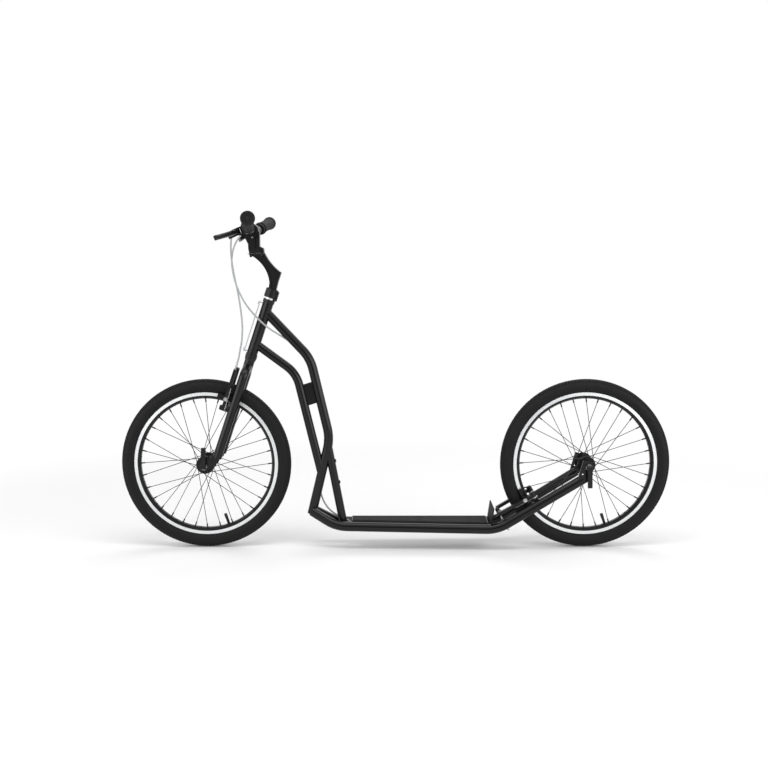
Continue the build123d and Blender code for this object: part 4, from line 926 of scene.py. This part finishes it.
@dataclass
class FrameTubes:
    """Main frame: tubes, deck, heel plate, dropouts and the plain plates."""

    shop: Workshop

    def build(self) -> None:
        """Dresses the frame."""
        shop = self.shop
        shop.dress_nodes(
            "frame_paint", "head_tube", "main_tube", "lower_tube", "deck_strut", "gusset_plate", "deck_rails", "rail_bridges",
            "rear_dropouts",
        )
        shop.dress_nodes("matt_black", "heel_plate", "deck_screws")
        shop.dress_nodes("stem_paint", "headset_cups")
        shop.dress_nodes("deck_alloy", "deck_plate")
        shop.dress_nodes("grip_sheet", "deck_grip")
        shop.dress_nodes("pale_plate", "front_plate")
        shop.dress_nodes("clip_plastic", "cable_clips")
        shop.dress_nodes("brake_alloy", "front_quick_lever", "rear_quick_lever")


@dataclass
class Cables:
    """Both brake cable housings with their end caps."""

    shop: Workshop
    radius: float = 0.0025
    rear_route: Sequence[tuple[float, float, float]] = (
        (-0.4561, 0.1097, 0.9025), (-0.4561, 0.0797, 0.9025), (-0.470, 0.042, 0.872), (-0.474, 0.028, 0.832),
        (-0.467, 0.013, 0.790), (-0.452, -0.003, 0.748), (-0.428, -0.018, 0.706), (-0.398, -0.0227, 0.672),
        (-0.366, -0.0205, 0.641), (-0.334, -0.011, 0.621), (-0.306, 0.012, 0.600), (-0.281, 0.0185, 0.576),
        (-0.256, 0.0195, 0.540), (-0.238, 0.0195, 0.497), (-0.224, 0.0195, 0.440), (-0.212, 0.0195, 0.388),
        (-0.204, 0.020, 0.336), (-0.208, 0.0205, 0.284), (-0.219, 0.020, 0.234), (-0.225, 0.0178, 0.186),
        (-0.219, 0.0145, 0.146),
        (-0.203, 0.014, 0.113), (-0.178, 0.0152, 0.090), (-0.150, 0.0152, 0.0795), (-0.112, 0.014, 0.058),
        (-0.062, 0.015, 0.0515), (0.0, 0.018, 0.0508), (0.062, 0.020, 0.0504), (0.124, 0.023, 0.0502),
        (0.184, 0.0245, 0.0497), (0.240, 0.0274, 0.0496), (0.285, 0.0278, 0.0501), (0.3125, 0.02835, 0.0489),
        (0.3308, 0.0100, 0.0489), (0.3308, -0.0160, 0.0489), (0.3225, -0.033, 0.0637), (0.3107, -0.033, 0.0846),
    )

    def build(self) -> None:
        """Builds the rear housing and dresses the front one."""
        mesh = smooth_line("rear_housing", [Vector(point) for point in self.rear_route], self.radius)
        obj = bpy.data.objects.new("rear_housing", mesh)
        bpy.context.scene.collection.objects.link(obj)
        self.shop.paints.dress(obj, "cable_housing")
        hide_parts("rear_cable")
        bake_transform(obj)
        self.shop.dress_nodes("cable_housing", "front_cable")
        self.shop.built.append(obj.name)
        LOG.info("built rear_housing: %d faces", len(mesh.polygons))


@dataclass
class Studio:
    """White floor, soft lamps and the camera."""

    camera_place: Vector = field(default_factory=lambda: Vector((-0.034, -3.3, 0.862)))
    camera_pitch: float = radians(6.64)
    lens: float = 53.9
    floor_size: float = 60.0
    floor_colour: Colour = (0.93, 0.93, 0.93)
    lit_radius: float = 1.15
    fade_width: float = 0.9
    sky_light: float = 0.62
    card_half_size: float = 0.95

    def build(self) -> None:
        """Builds the floor, the sky, the lamps and the camera."""
        self._floor()
        self._sky()
        self._dark_card()
        self._lamp("top_lamp", (0.0, -0.9, 2.8), (0.0, 0.0, 0.2), 2.8, 0.8, 26.0)
        self._lamp("back_lamp", (0.6, 2.2, 2.4), (0.0, 0.0, 0.30), 2.4, 1.0, 20.0)
        self._lamp("right_lamp", (2.6, -1.85, 1.2), (0.0, 0.0, 0.5), 3.0, 1.6, 36.0)
        self._lamp("left_lamp", (-2.7, -1.75, 1.2), (0.0, 0.0, 0.5), 3.0, 1.6, 30.0)
        self._camera()

    def _dark_card(self) -> None:
        """Dark card behind the camera, seen only in reflections, which gives glossy tubes their dark core."""
        shape = bmesh.new()
        turn = Matrix.Rotation(radians(90), 4, "X")
        place = Matrix.Translation((self.camera_place.x, self.camera_place.y - 0.3, self.camera_place.z)) @ turn
        bmesh.ops.create_grid(shape, x_segments=1, y_segments=1, size=self.card_half_size, matrix=place)
        mesh = bpy.data.meshes.new("dark_card")
        shape.to_mesh(mesh)
        shape.free()
        card = bpy.data.objects.new("dark_card", mesh)
        bpy.context.scene.collection.objects.link(card)
        material = bpy.data.materials.new("card_black")
        material.use_nodes = True
        shader = material.node_tree.nodes["Principled BSDF"]
        shader.inputs["Base Color"].default_value = (0.0, 0.0, 0.0, 1)
        shader.inputs["Specular IOR Level"].default_value = 0.0
        mesh.materials.append(material)
        card.visible_camera = False
        card.visible_diffuse = False
        card.visible_transmission = False
        card.visible_shadow = False

    def _floor(self) -> None:
        """Pale floor that catches the shadow."""
        shape = bmesh.new()
        bmesh.ops.create_grid(shape, x_segments=1, y_segments=1, size=self.floor_size / 2, matrix=Matrix.Translation((0, 0, -0.0004)))
        mesh = bpy.data.meshes.new("studio_floor")
        shape.to_mesh(mesh)
        shape.free()
        floor = bpy.data.objects.new("studio_floor", mesh)
        bpy.context.scene.collection.objects.link(floor)
        material = bpy.data.materials.new("studio_white")
        material.use_nodes = True
        shader = material.node_tree.nodes["Principled BSDF"]
        shader.inputs["Base Color"].default_value = (*self.floor_colour, 1)
        shader.inputs["Roughness"].default_value = 0.95
        shader.inputs["Specular IOR Level"].default_value = 0.1
        self._fade_to_white(material, shader)
        mesh.materials.append(material)

    def _fade_to_white(self, material: bpy.types.Material, lit: bpy.types.Node) -> None:
        """Turns the floor beyond the shadow into plain white for the eye and for reflections.

        Args:
            material: Floor material.
            lit: Its lit shader.
        """
        painter = NodePainter(material.node_tree)
        place = painter.add("ShaderNodeTexCoord")
        reach = painter.add("ShaderNodeVectorMath", operation="LENGTH")
        painter.link(place.outputs["Object"], reach.inputs[0])
        far = painter.math("DIVIDE", painter.math("SUBTRACT", reach.outputs["Value"], self.lit_radius), self.fade_width)
        share = painter.add("ShaderNodeMapRange", interpolation_type="SMOOTHSTEP")
        painter.link(far, share.inputs["Value"])
        rays = painter.add("ShaderNodeLightPath")
        factor = painter.math("MULTIPLY", share.outputs["Result"], seen_directly(painter, rays))
        white = painter.add("ShaderNodeEmission")
        white.inputs["Color"].default_value = (1, 1, 1, 1)
        mix = painter.add("ShaderNodeMixShader")
        painter.link(factor, mix.inputs[0])
        painter.link(lit.outputs[0], mix.inputs[1])
        painter.link(white.outputs[0], mix.inputs[2])
        painter.link(mix.outputs[0], material.node_tree.nodes["Material Output"].inputs["Surface"])

    def _sky(self) -> None:
        """White surroundings for the eye and for reflections, softer as a light."""
        world = bpy.data.worlds.new("studio_sky")
        bpy.context.scene.world = world
        world.use_nodes = True
        tree = world.node_tree
        tree.nodes.clear()
        painter = NodePainter(tree)
        rays = painter.add("ShaderNodeLightPath")
        seen = seen_directly(painter, rays)
        light = painter.add("ShaderNodeBackground")
        light.inputs["Strength"].default_value = self.sky_light
        white = painter.add("ShaderNodeBackground")
        white.inputs["Color"].default_value = (1, 1, 1, 1)
        light.inputs["Color"].default_value = (1, 1, 1, 1)
        mix = painter.add("ShaderNodeMixShader")
        painter.link(seen, mix.inputs[0])
        painter.link(light.outputs[0], mix.inputs[1])
        painter.link(white.outputs[0], mix.inputs[2])
        leave = painter.add("ShaderNodeOutputWorld")
        painter.link(mix.outputs[0], leave.inputs["Surface"])

    @staticmethod
    def _lamp(name: str, place: tuple, target: tuple, width: float, height: float, power: float) -> None:
        """Adds a soft box.

        Args:
            name: Name of the lamp.
            place: Where it hangs.
            target: What it points at.
            width: Width of the box.
            height: Height of the box.
            power: Power in watts.
        """
        data = bpy.data.lights.new(name, "AREA")
        data.shape = "RECTANGLE"
        data.size = width
        data.size_y = height
        data.energy = power
        lamp = bpy.data.objects.new(name, data)
        lamp.location = place
        lamp.rotation_euler = (Vector(target) - Vector(place)).to_track_quat("-Z", "Y").to_euler()
        bpy.context.scene.collection.objects.link(lamp)

    def _camera(self) -> None:
        """Camera at the photograph's viewpoint."""
        data = bpy.data.cameras.new("studio_camera")
        data.lens = self.lens
        data.sensor_width = 36.0
        data.sensor_fit = "HORIZONTAL"
        camera = bpy.data.objects.new("studio_camera", data)
        camera.location = self.camera_place
        camera.rotation_euler = (radians(90) - self.camera_pitch, 0, 0)
        bpy.context.scene.collection.objects.link(camera)
        bpy.context.scene.camera = camera


def main() -> None:
    """Builds the whole scene."""
    logging.basicConfig(level=logging.INFO, format="%(name)s %(message)s")
    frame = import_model()
    bpy.context.scene.view_settings.view_transform = "Standard"
    shop = Workshop(frame, Paintbox(SurfaceEffects()))
    rear_angle = radians(29.5)
    FrameTubes(shop).build()
    Steering(shop).build()
    for side in Side:
        BrakeLever(shop, side).build()
    RimBrake(shop, End.FRONT, FRONT_AXLE, -ACROSS, UP, "steering").build()
    RimBrake(shop, End.REAR, REAR_AXLE, ACROSS, Vector((-cos(rear_angle), 0, -sin(rear_angle))), "frame").build()
    Wheel(shop, End.FRONT, FRONT_AXLE).build()
    Wheel(shop, End.REAR, REAR_AXLE).build()
    Cables(shop).build()
    Studio().build()
    LOG.info("pieces built: %d", len(shop.built))


if __name__ == "__main__":
    main()
